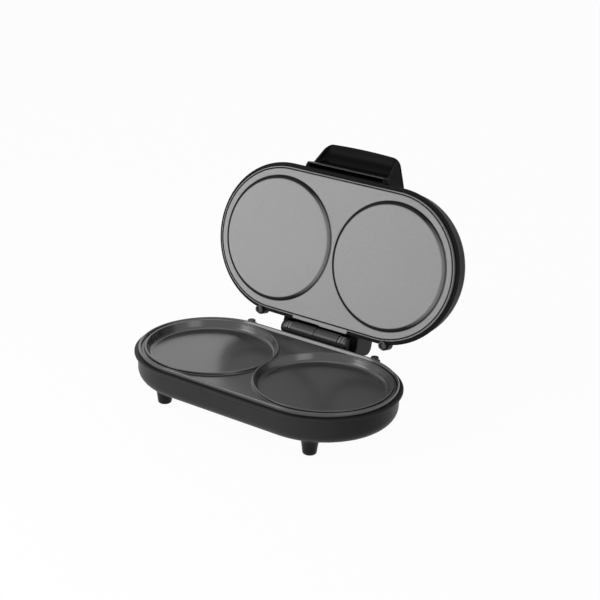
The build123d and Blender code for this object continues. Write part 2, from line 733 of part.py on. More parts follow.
# Upper plate: flat, with two raised discs that close the cups
with BuildPart() as upper_plate:
    with BuildSketch(lid_plane):
        SlotOverall(plate_length, plate_width)
        with Locations((0, plate_width / 2)):
            Rectangle(tab_length, 2 * tab_reach)
        with Locations((tab_length / 4, plate_width / 2)):
            Rectangle(tab_length / 2, 2 * (tab_reach + tab_step))
    extrude(amount=upper_rim_side)
    fillet(upper_plate.edges().group_by(lid_axis)[0], 0.9)
    with BuildSketch(lid_plane.offset(upper_rim_side)):
        SlotOverall(plate_length - 2 * spigot_inset, plate_width - 2 * spigot_inset)
    extrude(amount=upper_spigot - upper_rim_side)
    inner = 2 * (spigot_inset + spigot_width)
    with BuildSketch(lid_plane.offset(upper_thickness)):
        SlotOverall(plate_length - inner, plate_width - inner)
    extrude(amount=upper_spigot, mode=Mode.SUBTRACT)
    # groove inside the rim band
    with BuildSketch(lid_plane):
        outer_groove = 2 * (groove_inset + 0.6)
        inner_groove = outer_groove + 2 * groove_width
        SlotOverall(plate_length - outer_groove, plate_width - outer_groove)
        SlotOverall(plate_length - inner_groove, plate_width - inner_groove, mode=Mode.SUBTRACT)
    extrude(amount=groove_depth, mode=Mode.SUBTRACT)
    for side in (-1, 1):
        centre = side * cup_pitch / 2
        spine = lid_ray(centre, 0)
        with BuildSketch(lid_section(centre, 0)):
            with BuildLine():
                Polyline(
                    (0, upper_thickness - 0.5),
                    (side * cup_radius, upper_thickness - 0.5),
                    (side * cup_radius, 0),
                    (side * (cup_radius - disc_slope), -disc_height),
                    (0, -disc_height),
                    close=True,
                )
            make_face()
        revolve(axis=spine)
    # fine groove at the foot of each disc, hollow behind it
    with BuildSketch(lid_plane):
        with GridLocations(cup_pitch, 1, 2, 1):
            Circle(cup_radius + 0.8)
            Circle(cup_radius - 0.1, mode=Mode.SUBTRACT)
    extrude(amount=0.5, mode=Mode.SUBTRACT)
    with BuildSketch(lid_plane.offset(upper_thickness)):
        with GridLocations(cup_pitch, 1, 2, 1):
            Circle(cup_radius - disc_slope - upper_thickness)
    extrude(amount=-disc_height, mode=Mode.SUBTRACT)
    far = cup_pitch + 2 * element_reach
    with BuildSketch(lid_plane.offset(upper_thickness - disc_height - 0.5)):
        SlotOverall(far + element_rib_width, 2 * element_reach + element_rib_width)
        SlotOverall(
            far - element_rib_width, 2 * element_reach - element_rib_width, mode=Mode.SUBTRACT
        )
    extrude(amount=lid_rib - upper_thickness + disc_height + 0.5)
    with BuildSketch(lid_plane.offset(upper_thickness - disc_height - 0.5)):
        with GridLocations(cup_pitch, boss_pitch, 2, 2):
            Circle(boss_radius)
    extrude(amount=lid_shield - upper_thickness + disc_height + 0.5)
    upper_groove = [lid_plane.from_local_coords(p) for p in element_path(lid_rib, 0)[1:-1]]
    with BuildLine() as upper_groove_line:
        FilletPolyline(*upper_groove, radius=4 * [loop_round])
    with BuildSketch(Plane(origin=upper_groove_line.line @ 0, z_dir=upper_groove_line.line % 0)):
        Circle(upper_element_radius + fit_gap)
    sweep(path=upper_groove_line.line, mode=Mode.SUBTRACT)
    with BuildSketch(lid_plane.offset(upper_thickness)):
        with Locations((0, -element_reach)):
            Rectangle(element_gap + 4 * element_bend, element_rib_width + 2)
    extrude(amount=lid_rib, mode=Mode.SUBTRACT)
    with BuildSketch(lid_plane.offset(lid_shield)):
        with GridLocations(cup_pitch, boss_pitch, 2, 2):
            Circle(screw_radius + fit_gap / 2)
    extrude(amount=-screw_bite - fit_gap, mode=Mode.SUBTRACT)
    # flat between and round the discs
    with BuildSketch(lid_plane):
        Rectangle(plate_length + 20, plate_width + 20)
        with GridLocations(cup_pitch, 1, 2, 1):
            Circle(cup_radius - 0.1, mode=Mode.SUBTRACT)
    extrude(amount=-disc_height - 2, mode=Mode.SUBTRACT)
upper_plate.part.label = "upper_plate"
export_step(upper_plate.part, "parts/upper_plate.step")

# Upper heating loop
with BuildPart() as upper_element:
    upper_points = [lid_plane.from_local_coords(p) for p in element_path(lid_rib, lid_leg)]
    with BuildLine() as upper_loop:
        FilletPolyline(*upper_points, radius=element_bends)
    with BuildSketch(Plane(origin=upper_loop.line @ 0, z_dir=upper_loop.line % 0)):
        Circle(upper_element_radius)
    sweep(path=upper_loop.line)
    with BuildSketch(lid_plane.offset(lid_rib + lid_leg - 1)):
        with Locations((-element_gap / 2, -element_reach), (element_gap / 2, -element_reach)):
            Circle(terminal_radius)
    extrude(amount=terminal_length)
upper_element.part.label = "upper_element"
export_step(upper_element.part, "parts/upper_element.step")

# Upper heat shield
with BuildPart() as upper_shield:
    with BuildSketch(lid_plane.offset(lid_shield)):
        SlotOverall(plate_length - 2 * shield_inset, plate_width - 2 * shield_inset)
        with GridLocations(cup_pitch, boss_pitch, 2, 2):
            Circle(screw_radius + fit_gap, mode=Mode.SUBTRACT)
        with Locations((0, -element_reach)):
            SlotOverall(element_gap + 14, 12, mode=Mode.SUBTRACT)
    extrude(amount=shield_thickness)
upper_shield.part.label = "upper_shield"
export_step(upper_shield.part, "parts/upper_shield.step")

# Lid frame: lip, wall and a deck that the plate hangs from
with BuildPart() as lid_frame:
    with BuildSketch(lid_plane.offset(lid_lip)):
        SlotOverall(wall_length + 2 * lip_overhang, wall_width + 2 * lip_overhang)
    extrude(amount=lip_thickness)
    fillet(lid_frame.edges().group_by(lid_axis)[-1], lip_round)
    fillet(lid_frame.edges().group_by(lid_axis)[0], lip_round)
    with BuildSketch(lid_plane.offset(lid_lip)):
        SlotOverall(wall_length, wall_width)
    extrude(amount=frame_height)
    with BuildSketch(lid_plane.offset(lid_lip)):
        with GridLocations(2 * lug_x, 1, 2, 1):
            with Locations((0, lug_y)):
                Circle(lug_boss)
    extrude(amount=lug_tail - lid_lip)
    # hollow on both sides of the deck
    with BuildSketch(lid_plane.offset(lid_lip)):
        SlotOverall(wall_length - 2 * wall, wall_width - 2 * wall)
    extrude(amount=deck_level - lid_lip, mode=Mode.SUBTRACT)
    with BuildSketch(lid_plane.offset(deck_level + deck_thickness)):
        SlotOverall(wall_length - 2 * wall, wall_width - 2 * wall)
    extrude(amount=frame_height, mode=Mode.SUBTRACT)
    # locating rim for the cover
    with BuildSketch(lid_plane.offset(deck_level + deck_thickness / 2)):
        outer_tongue = 2 * (wall + fit_gap)
        inner_tongue = outer_tongue + 2 * tongue_width
        SlotOverall(wall_length - outer_tongue, wall_width - outer_tongue)
        SlotOverall(wall_length - inner_tongue, wall_width - inner_tongue, mode=Mode.SUBTRACT)
    extrude(amount=tongue_height + deck_thickness / 2)
    with BuildSketch(lid_plane.offset(upper_spigot)):
        with GridLocations(rib_pitch, 2 * rib_radius, 5, 2):
            Rectangle(rib_thickness, rib_reach + 1)
        for side in (-1, 1):
            for step in range(-2, 3):
                angle = radians(step * rib_turn)
                spot = (side * (end_x + rib_radius * cos(angle)), rib_radius * sin(angle), 0)
                with Locations(Location(spot, (0, 0, side * step * rib_turn))):
                    Rectangle(rib_reach + 1, rib_thickness)
    extrude(amount=deck_level - upper_spigot)
    with BuildSketch(lid_plane.offset(lid_shield + shield_thickness)):
        with GridLocations(cup_pitch, boss_pitch, 2, 2):
            Circle(pillar_radius)
    extrude(amount=lid_shield_gap + 0.5)
    with BuildSketch(lid_plane.offset(lid_shield)):
        with GridLocations(cup_pitch, boss_pitch, 2, 2):
            Circle(screw_radius + fit_gap)
        with GridLocations(2 * cover_screw_x, 2 * cover_screw_y, 2, 2):
            Circle(screw_radius + fit_gap)
        with Locations((0, -element_reach)):
            SlotOverall(element_gap + 14, 12)
    extrude(amount=deck_level + deck_thickness - lid_shield, mode=Mode.SUBTRACT)
    # holes for the lugs, the handle's screws and the hinge box's screws
    with BuildSketch(lid_plane.offset(lid_lip)):
        with GridLocations(2 * lug_x, 1, 2, 1):
            with Locations((0, lug_y)):
                Circle(lug_spigot + fit_gap)
    extrude(amount=lug_seat + fit_gap, mode=Mode.SUBTRACT)
    with BuildSketch(lid_section(0, wall_width / 2)):
        with Locations((-hinge_screw_x, side_screw_level), (hinge_screw_x, side_screw_level)):
            Circle(screw_radius + fit_gap)
    extrude(amount=wall + 1, mode=Mode.SUBTRACT)
    with BuildSketch(lid_section(0, -wall_width / 2)):
        with Locations((-side_screw_x, side_screw_level), (side_screw_x, side_screw_level)):
            Circle(screw_radius + fit_gap)
    extrude(amount=-wall - 1, mode=Mode.SUBTRACT)
lid_frame.part.label = "lid_frame"
export_step(lid_frame.part, "parts/lid_frame.step")

# Lid cover: a shell that closes the lid's back
with BuildPart() as cover_hollow:
    with BuildSketch(lid_plane.offset(frame_top - 1)):
        SlotOverall(wall_length - 2 * wall, wall_width - 2 * wall)
    extrude(amount=cover_height - wall + 1)
    fillet(cover_hollow.edges().group_by(lid_axis)[-1], cover_round - wall)
with BuildPart() as lid_cover:
    with BuildSketch(lid_plane.offset(frame_top + cover_seam)):
        SlotOverall(wall_length, wall_width)
    extrude(amount=cover_height - cover_seam)
    fillet(lid_cover.edges().group_by(lid_axis)[-1], cover_round)
    add(cover_hollow.part, mode=Mode.SUBTRACT)
    with BuildSketch(lid_plane.offset(deck_level + deck_thickness)):
        with GridLocations(2 * cover_screw_x, 2 * cover_screw_y, 2, 2):
            Circle(boss_radius)
    extrude(amount=lid_back - wall - deck_level - deck_thickness + 0.5)
    with BuildSketch(lid_plane.offset(deck_level + deck_thickness)):
        with GridLocations(2 * cover_screw_x, 2 * cover_screw_y, 2, 2):
            Circle(screw_radius + fit_gap / 2)
    extrude(amount=screw_bite + fit_gap, mode=Mode.SUBTRACT)
    with BuildSketch(lid_plane.offset(lid_back)):
        with Locations((-lamp_pitch / 2, lamp_y), (lamp_pitch / 2, lamp_y)):
            Circle(lamp_radius + fit_gap)
    extrude(amount=-wall, mode=Mode.SUBTRACT)
lid_cover.part.label = "lid_cover"
export_step(lid_cover.part, "parts/lid_cover.step")

# Screws that hold the plate and the cover to the deck
with BuildPart() as upper_plate_screws:
    deck_top = deck_level + deck_thickness
    with BuildSketch(lid_plane.offset(deck_top)):
        with GridLocations(cup_pitch, boss_pitch, 2, 2):
            Circle(screw_head_radius)
    extrude(amount=screw_head_height)
    with BuildSketch(lid_plane.offset(deck_top + 0.2)):
        with GridLocations(cup_pitch, boss_pitch, 2, 2):
            Circle(screw_radius)
    extrude(amount=lid_shield - screw_bite - deck_top - 0.2)
upper_plate_screws.part.label = "upper_plate_screws"
export_step(upper_plate_screws.part, "parts/upper_plate_screws.step")

with BuildPart() as cover_screws:
    with BuildSketch(lid_plane.offset(deck_level)):
        with GridLocations(2 * cover_screw_x, 2 * cover_screw_y, 2, 2):
            Circle(screw_head_radius)
    extrude(amount=-screw_head_height)
    with BuildSketch(lid_plane.offset(deck_level - 0.2)):
        with GridLocations(2 * cover_screw_x, 2 * cover_screw_y, 2, 2):
            Circle(screw_radius)
    extrude(amount=deck_thickness + screw_bite + 0.2)
cover_screws.part.label = "cover_screws"
export_step(cover_screws.part, "parts/cover_screws.step")

# Lugs that meet the buffers when the lid is shut
for side, name in ((-1, "left"), (1, "right")):
    with BuildPart() as lug:
        with BuildSketch(lid_plane.offset(lug_face)):
            with Locations((side * lug_x, lug_y)):
                Circle(lug_radius)
        extrude(amount=lid_lip - lug_face)
        fillet(lug.edges().group_by(lid_axis)[0], 0.8)
        with BuildSketch(lid_plane.offset(lid_lip)):
            with Locations((side * lug_x, lug_y)):
                Circle(lug_spigot)
        extrude(amount=lug_seat)
        with BuildSketch(lid_plane.offset(lug_face)):
            with Locations((side * lug_x, lug_y)):
                Circle(lug_recess_radius)
        extrude(amount=lug_recess_depth, mode=Mode.SUBTRACT)
    lug.part.label = "lug_" + name
    export_step(lug.part, "parts/lug_" + name + ".step")

# Indicator lamps in the cover
for side, name in ((-1, "power"), (1, "ready")):
    with BuildPart() as lamp:
        with BuildSketch(lid_plane.offset(lid_back + lamp_proud)):
            with Locations((side * lamp_pitch / 2, lamp_y)):
                Circle(lamp_radius)
        extrude(amount=-lamp_length)
        fillet(lamp.edges().group_by(lid_axis)[-1], 0.6)
        with BuildSketch(lid_plane.offset(lid_back - wall)):
            with Locations((side * lamp_pitch / 2, lamp_y)):
                Circle(lamp_radius + lamp_flange)
        extrude(amount=-lamp_flange)
    lamp.part.label = name + "_lamp"
    export_step(lamp.part, "parts/" + name + "_lamp.step")

# The lid's own shape, grown by the fit, that the hinge box and the handle wrap round
with BuildPart() as lid_envelope:
    with BuildSketch(lid_plane.offset(lid_lip - fit_gap)):
        SlotOverall(wall_length + 2 * fit_gap, wall_width + 2 * fit_gap)
    extrude(amount=lid_back - lid_lip + 2 * fit_gap)
    fillet(lid_envelope.edges().group_by(lid_axis)[-1], cover_round)
    with BuildSketch(lid_plane.offset(lid_lip - 3)):
        grown = 2 * (lip_overhang + fit_gap)
        SlotOverall(wall_length + grown, wall_width + grown)
    extrude(amount=lip_thickness + fit_gap + 3)

# Hinge box on the lid: two cheeks, a rear wall and a back, with a knuckle inside each cheek
with BuildPart() as hinge_box:
    lap_y = wall_width / 2 - box_lap
    with BuildSketch(lid_side(-box_half)):
        with BuildLine():
            Polyline(
                (lap_y, lid_back),
                (lap_y, box_front),
                (wall_width / 2 + lip_overhang + fit_gap, box_front),
                (wall_width / 2 + lip_overhang + fit_gap, cheek_front),
                (hinge_y + 4, cheek_front),
                (hinge_y + 8.5, cheek_front - 1.3),
                (hinge_y + cheek_reach, cheek_front + 1.5),
                (hinge_y + cheek_reach, box_back),
                (lap_y + 6, box_back),
                close=True,
            )
        make_face()
    extrude(amount=2 * box_half)
    corner = hinge_box.edges().filter_by(Axis.X).filter_by(
        lambda e: abs(lid_plane.to_local_coords(e @ 0.5).Z - box_back) < 0.01
    ).sort_by(Axis(lid_plane.origin, lid_plane.y_dir))
    fillet(corner[-1], cheek_round)
    # open inside, clear of the cradle
    with BuildSketch(lid_side(-cheek_start)):
        with BuildLine():
            Polyline(
                (wall_width / 2 + box_wall, box_back - box_wall),
                (wall_width / 2 + box_wall, box_front + 2),
                (wall_width / 2 - 1, box_front),
                (wall_width / 2 - 1, pin_z - 2 * knuckle_radius),
                (hinge_y + 2 * cheek_reach, pin_z - 2 * knuckle_radius),
                (hinge_y + 2 * cheek_reach, box_rear_bottom),
                (hinge_y + cheek_reach - box_wall, box_rear_bottom),
                (hinge_y + cheek_reach - box_wall, box_back - cheek_round),
                (hinge_y + cheek_reach - cheek_round, box_back - box_wall),
                close=True,
            )
        make_face()
    extrude(amount=2 * cheek_start, mode=Mode.SUBTRACT)
    # block and knuckle inside each cheek
    for side in (-1, 1):
        with BuildSketch(lid_side(side * (knuckle_start + knuckle_length - 0.4))):
            with BuildLine():
                Polyline(
                    (wall_width / 2 + lip_overhang + fit_gap, box_front - 1.5),
                    (wall_width / 2 + lip_overhang + 3, block_front),
                    (hinge_y + cheek_reach - box_wall, block_front),
                    (hinge_y + cheek_reach - box_wall + 1, box_rear_bottom + 8),
                    (wall_width / 2 + box_wall - 1, box_rear_bottom + 8),
                    (wall_width / 2 + box_wall - 1, box_front + 2),
                    close=True,
                )
            make_face()
        extrude(amount=side * (cheek_start + 0.5 - knuckle_start - knuckle_length + 0.4))
        with BuildSketch(lid_side(side * knuckle_start)):
            with BuildLine():
                Polyline(
                    (hinge_y - knuckle_radius, pin_z),
                    (hinge_y + knuckle_radius, pin_z),
                    (hinge_y + cheek_reach - box_wall + 1, box_rear_bottom + 8),
                    (wall_width / 2 + box_wall - 1, box_rear_bottom + 8),
                    (wall_width / 2 + box_wall - 1, box_front + 2),
                    close=True,
                )
            make_face()
            with Locations((hinge_y, pin_z)):
                Circle(knuckle_radius)
        extrude(amount=side * knuckle_length)
    # bosses for its screws
    with BuildSketch(lid_section(0, wall_width / 2 + box_wall - 0.5)):
        with Locations((-hinge_screw_x, side_screw_level), (hinge_screw_x, side_screw_level)):
            Circle(screw_radius + wall)
    extrude(amount=-side_bite + box_wall - 0.5)
    add(lid_envelope.part, mode=Mode.SUBTRACT)
    with BuildSketch(lid_section(0, wall_width / 2)):
        with Locations((-hinge_screw_x, side_screw_level), (hinge_screw_x, side_screw_level)):
            Circle(screw_radius + fit_gap / 2)
    extrude(amount=-side_bite - fit_gap, mode=Mode.SUBTRACT)
    with BuildSketch(lid_side(-pin_half - fit_gap)):
        with Locations((hinge_y, pin_z)):
            Circle(pin_radius + running_fit)
    extrude(amount=2 * (pin_half + fit_gap), mode=Mode.SUBTRACT)
hinge_box.part.label = "hinge_box"
export_step(hinge_box.part, "parts/hinge_box.step")

with BuildPart() as hinge_screws:
    with BuildSketch(lid_section(0, wall_width / 2 - wall)):
        with Locations((-hinge_screw_x, side_screw_level), (hinge_screw_x, side_screw_level)):
            Circle(screw_head_radius)
    extrude(amount=screw_head_height)
    with BuildSketch(lid_section(0, wall_width / 2 - wall - 0.2)):
        with Locations((-hinge_screw_x, side_screw_level), (hinge_screw_x, side_screw_level)):
            Circle(screw_radius)
    extrude(amount=-wall - side_bite - 0.2)
hinge_screws.part.label = "hinge_screws"
export_step(hinge_screws.part, "parts/hinge_screws.step")

# Handle: a scoop, open to the plate side, with walls that lean out to the lid's back
handle_inner = -wall_width / 2 + box_lap
handle_outer = -wall_width / 2 - handle_reach
flare = (handle_root - handle_tip) / 2 / (handle_inner - handle_outer)
with BuildPart() as handle_hollow:
    with BuildSketch(lid_plane.offset(lid_back)):
        with BuildLine():
            spread = handle_root / 2 - handle_side
            far_y = handle_outer - 30
            near_y = handle_inner + 30
            Polyline(
                (-spread - flare * 30, near_y),
                (-spread + flare * (handle_inner - far_y), far_y),
                (spread - flare * (handle_inner - far_y), far_y),
                (spread + flare * 30, near_y),
                close=True,
            )
        make_face()
    extrude(amount=-lid_back - 10, taper=handle_lean)
    with BuildSketch(lid_side(-handle_root)):
        with BuildLine():
            Polyline(
                (handle_inner, lid_back - handle_skin),
                (-wall_width / 2 - 12, lid_back - handle_skin),
                (grip_foot + handle_skin, grip_back - 6),
                (grip_foot + handle_skin, ledge_low - 9),
                (handle_inner, ledge_low - 9),
                close=True,
            )
        make_face()
    extrude(amount=2 * handle_root, mode=Mode.INTERSECT)
with BuildPart() as grip_hollow:
    with BuildSketch(lid_plane.offset(lid_back)):
        with BuildLine():
            Polyline(
                (-spread, handle_inner),
                (-spread + flare * (handle_inner - far_y), far_y),
                (spread - flare * (handle_inner - far_y), far_y),
                (spread, handle_inner),
                close=True,
            )
        make_face()
    extrude(amount=-lid_back - 10, taper=handle_lean)
    with BuildSketch(lid_side(-handle_root)) as grip:
        with BuildLine():
            Polyline(
                (grip_foot, ledge_low - 9),
                (grip_foot, grip_back),
                (handle_outer - 15, grip_back + 2.4),
                (handle_outer - 15, ledge_low - 9),
                close=True,
            )
        make_face()
        fillet(grip.vertices().sort_by_distance(Vector(grip_foot, grip_back, 0))[0], grip_round)
    extrude(amount=2 * handle_root, mode=Mode.INTERSECT)
with BuildPart() as handle_shell:
    with BuildSketch(lid_plane.offset(lid_back)) as handle_plan:
        with BuildLine():
            Polyline(
                (-handle_root / 2, handle_inner),
                (-handle_tip / 2, handle_outer),
                (handle_tip / 2, handle_outer),
                (handle_root / 2, handle_inner),
                close=True,
            )
        make_face()
        fillet(handle_plan.vertices().group_by(Axis.Y)[0], handle_round)
    extrude(amount=ledge_high + fit_gap - lid_back, taper=handle_lean)
    with BuildSketch(lid_side(-handle_root)):
        with BuildLine():
            Polyline(
                (handle_inner, lid_back),
                (handle_outer, lid_back - handle_fall),
                (handle_outer, lid_back - handle_fall - handle_skin + 0.8),
                (handle_outer + 3.3, lid_back - handle_fall - handle_skin),
                (grip_foot, wall_foot),
                (grip_foot, ledge_high),
                (handle_inner, ledge_high),
                close=True,
            )
        make_face()
    extrude(amount=2 * handle_root, mode=Mode.INTERSECT)
    add(handle_hollow.part, mode=Mode.SUBTRACT)
    add(grip_hollow.part, mode=Mode.SUBTRACT)
    add(lid_envelope.part, mode=Mode.SUBTRACT)
    # bosses for its screws
    with BuildSketch(lid_section(0, -wall_width / 2 - fit_gap)):
        with Locations((-side_screw_x, side_screw_level), (side_screw_x, side_screw_level)):
            Circle(screw_radius + wall)
    extrude(amount=handle_boss)
    with BuildSketch(lid_section(0, -wall_width / 2)):
        with Locations((-side_screw_x, side_screw_level), (side_screw_x, side_screw_level)):
            Circle(screw_radius + fit_gap / 2)
    extrude(amount=handle_bite + fit_gap, mode=Mode.SUBTRACT)
handle_shell.part.label = "handle_shell"
export_step(handle_shell.part, "parts/handle_shell.step")

# Ledge bar under the scoop, with a long slot behind its front edge
with BuildPart() as handle_ledge:
    ledge_back = -wall_width / 2 - lip_overhang - fit_gap
    with BuildSketch(lid_plane.offset(ledge_low)):
        with BuildLine():
            Polyline(
                (-ledge_length / 2, grip_foot),
                (ledge_length / 2, grip_foot),
                (ledge_length / 2 + flare * (ledge_back - grip_foot), ledge_back),
                (-ledge_length / 2 - flare * (ledge_back - grip_foot), ledge_back),
                close=True,
            )
        make_face()
    extrude(amount=ledge_high - ledge_low)
    fillet(handle_ledge.edges().filter_by(Axis.X).group_by(lid_axis)[0], ledge_round)
    with BuildSketch(lid_plane.offset(ledge_low)):
        with Locations((0, (grip_foot + ledge_edge + ledge_back) / 2 + 1)):
            Rectangle(ledge_length - 7, ledge_back - grip_foot - ledge_edge + 2)
    extrude(amount=ledge_high - ledge_low - 1.6, mode=Mode.SUBTRACT)
handle_ledge.part.label = "handle_ledge"
export_step(handle_ledge.part, "parts/handle_ledge.step")

with BuildPart() as handle_screws:
    with BuildSketch(lid_section(0, -wall_width / 2 + wall)):
        with Locations((-side_screw_x, side_screw_level), (side_screw_x, side_screw_level)):
            Circle(screw_head_radius)
    extrude(amount=-screw_head_height)
    with BuildSketch(lid_section(0, -wall_width / 2 + wall + 0.2)):
        with Locations((-side_screw_x, side_screw_level), (side_screw_x, side_screw_level)):
            Circle(screw_radius)
    extrude(amount=wall + handle_bite + 0.2)
handle_screws.part.label = "handle_screws"
export_step(handle_screws.part, "parts/handle_screws.step")
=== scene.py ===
"""Pancake maker with its lid open: finishes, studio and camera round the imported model."""
import json
import math

import bpy
import numpy as np
from mathutils import Matrix, Vector


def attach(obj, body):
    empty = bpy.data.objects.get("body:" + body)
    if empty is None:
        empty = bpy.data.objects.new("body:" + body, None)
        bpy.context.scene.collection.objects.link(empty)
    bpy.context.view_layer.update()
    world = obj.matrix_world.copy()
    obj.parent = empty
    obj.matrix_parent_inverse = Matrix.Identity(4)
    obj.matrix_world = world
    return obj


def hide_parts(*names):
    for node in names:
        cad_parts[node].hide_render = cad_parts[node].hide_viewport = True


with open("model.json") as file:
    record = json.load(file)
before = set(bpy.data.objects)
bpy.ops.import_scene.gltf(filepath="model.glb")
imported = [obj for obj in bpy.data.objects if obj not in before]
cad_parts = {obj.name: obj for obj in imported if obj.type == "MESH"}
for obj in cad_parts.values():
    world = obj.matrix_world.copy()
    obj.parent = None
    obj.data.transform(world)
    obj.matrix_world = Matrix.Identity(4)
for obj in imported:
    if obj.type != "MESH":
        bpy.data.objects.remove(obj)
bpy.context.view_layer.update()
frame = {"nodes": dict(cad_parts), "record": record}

# Sizes in metres, with the few shares and slopes that go with them
cup_radius = 0.0746
cup_pitch = 0.153
cup_side = 0.01065        # from a cup's mouth to the plate's long edge
cup_end = 0.0089          # from a cup's mouth to the plate's round end
cup_depth = 0.010
cup_lean = 0.0022
rim_height = 0.0595
rim_side = 0.0045
web_drop = 0.0035
bead_width = 0.0028
bead_height = 0.0030
plate_wall = 0.0034
spigot_inset = 0.0022
spigot_width = 0.0030
spigot_depth = 0.0085
upper_wall = 0.0020
upper_rim_side = 0.0032
upper_spigot = 0.0075
disc_height = 0.0035
disc_slope = 0.0048
tab_half = 0.038
tab_reach = 0.0028
tab_step = 0.0010
hinge_y = 0.09985
hinge_z = 0.0587
lid_open = math.radians(103.6)
lid_back = 0.0330
lid_wall = 0.08585        # half the lid's width, without its lip
lid_lip_edge = 0.0901
grip_foot = -0.09685
handle_outer = -0.12035
handle_inner = -0.07785
handle_root = 0.0642      # half its width at the lid
handle_tip = 0.0494
handle_lean = math.tan(math.radians(13.2))
handle_corner = 0.0088
handle_bow = 0.0010       # how far the outer edge arches
handle_side = 0.0034
handle_blend = 0.0090     # hollow round between the grip and each side wall
wall_foot = 0.0114
ledge_low = -0.0010
ledge_high = 0.0070
ledge_half = 0.0533
ledge_flare = 0.35        # how much the ledge widens towards the lid
ledge_outer_bar = 0.0014
ledge_inner_bar = 0.0009
slot_half = 0.0498
closing_gap = 0.0008
floor_round = 0.0045      # round between a cup's floor and its wall
bead_inner_round = 0.0011
bead_outer_round = 0.0010
bead_foot_round = 0.0008
disc_round = 0.0020
tab_round = 0.0005
ledge_round = 0.0016
slot_round = 0.0004
grip_half = 0.0545        # half the grip's length at its lip
grip_floor = 0.0078       # where the hollow starts
grip_rise = 0.0208
grip_fullness = 2.5       # 2 is a plain ellipse
grip_tip_inset = 0.0009
grip_lip_level = 0.0298
grip_back_fall = 0.0018
wall_edge_round = 0.0009
slot_recess = 0.0021      # of the grip's underside behind the slot
pin_way = 0.0031
foot_x = 0.100
foot_y = -0.056

plate_half_width = cup_radius + cup_side
end_centre = cup_pitch / 2 + cup_radius + cup_end - plate_half_width

# ---------------------------------------------------------------- lid's own frame
closed_height = rim_height + closing_gap - hinge_z
lid_across = np.array([1.0, 0.0, 0.0])
lid_depth = np.array([0.0, math.sin(lid_open), math.cos(lid_open)])
lid_up = np.array([0.0, math.cos(lid_open), -math.sin(lid_open)])
lid_origin = np.array([
    0.0,
    hinge_y - hinge_y * math.cos(lid_open) + closed_height * math.sin(lid_open),
    hinge_z + hinge_y * math.sin(lid_open) + closed_height * math.cos(lid_open),
])


def on_lid(points):
    """Points of the lid's own frame (along the plate, towards the hinge, towards the back) in the row frame."""
    x, y, z = points[..., 0:1], points[..., 1:2], points[..., 2:3]
    return lid_origin + x * lid_across + y * lid_up + z * lid_depth


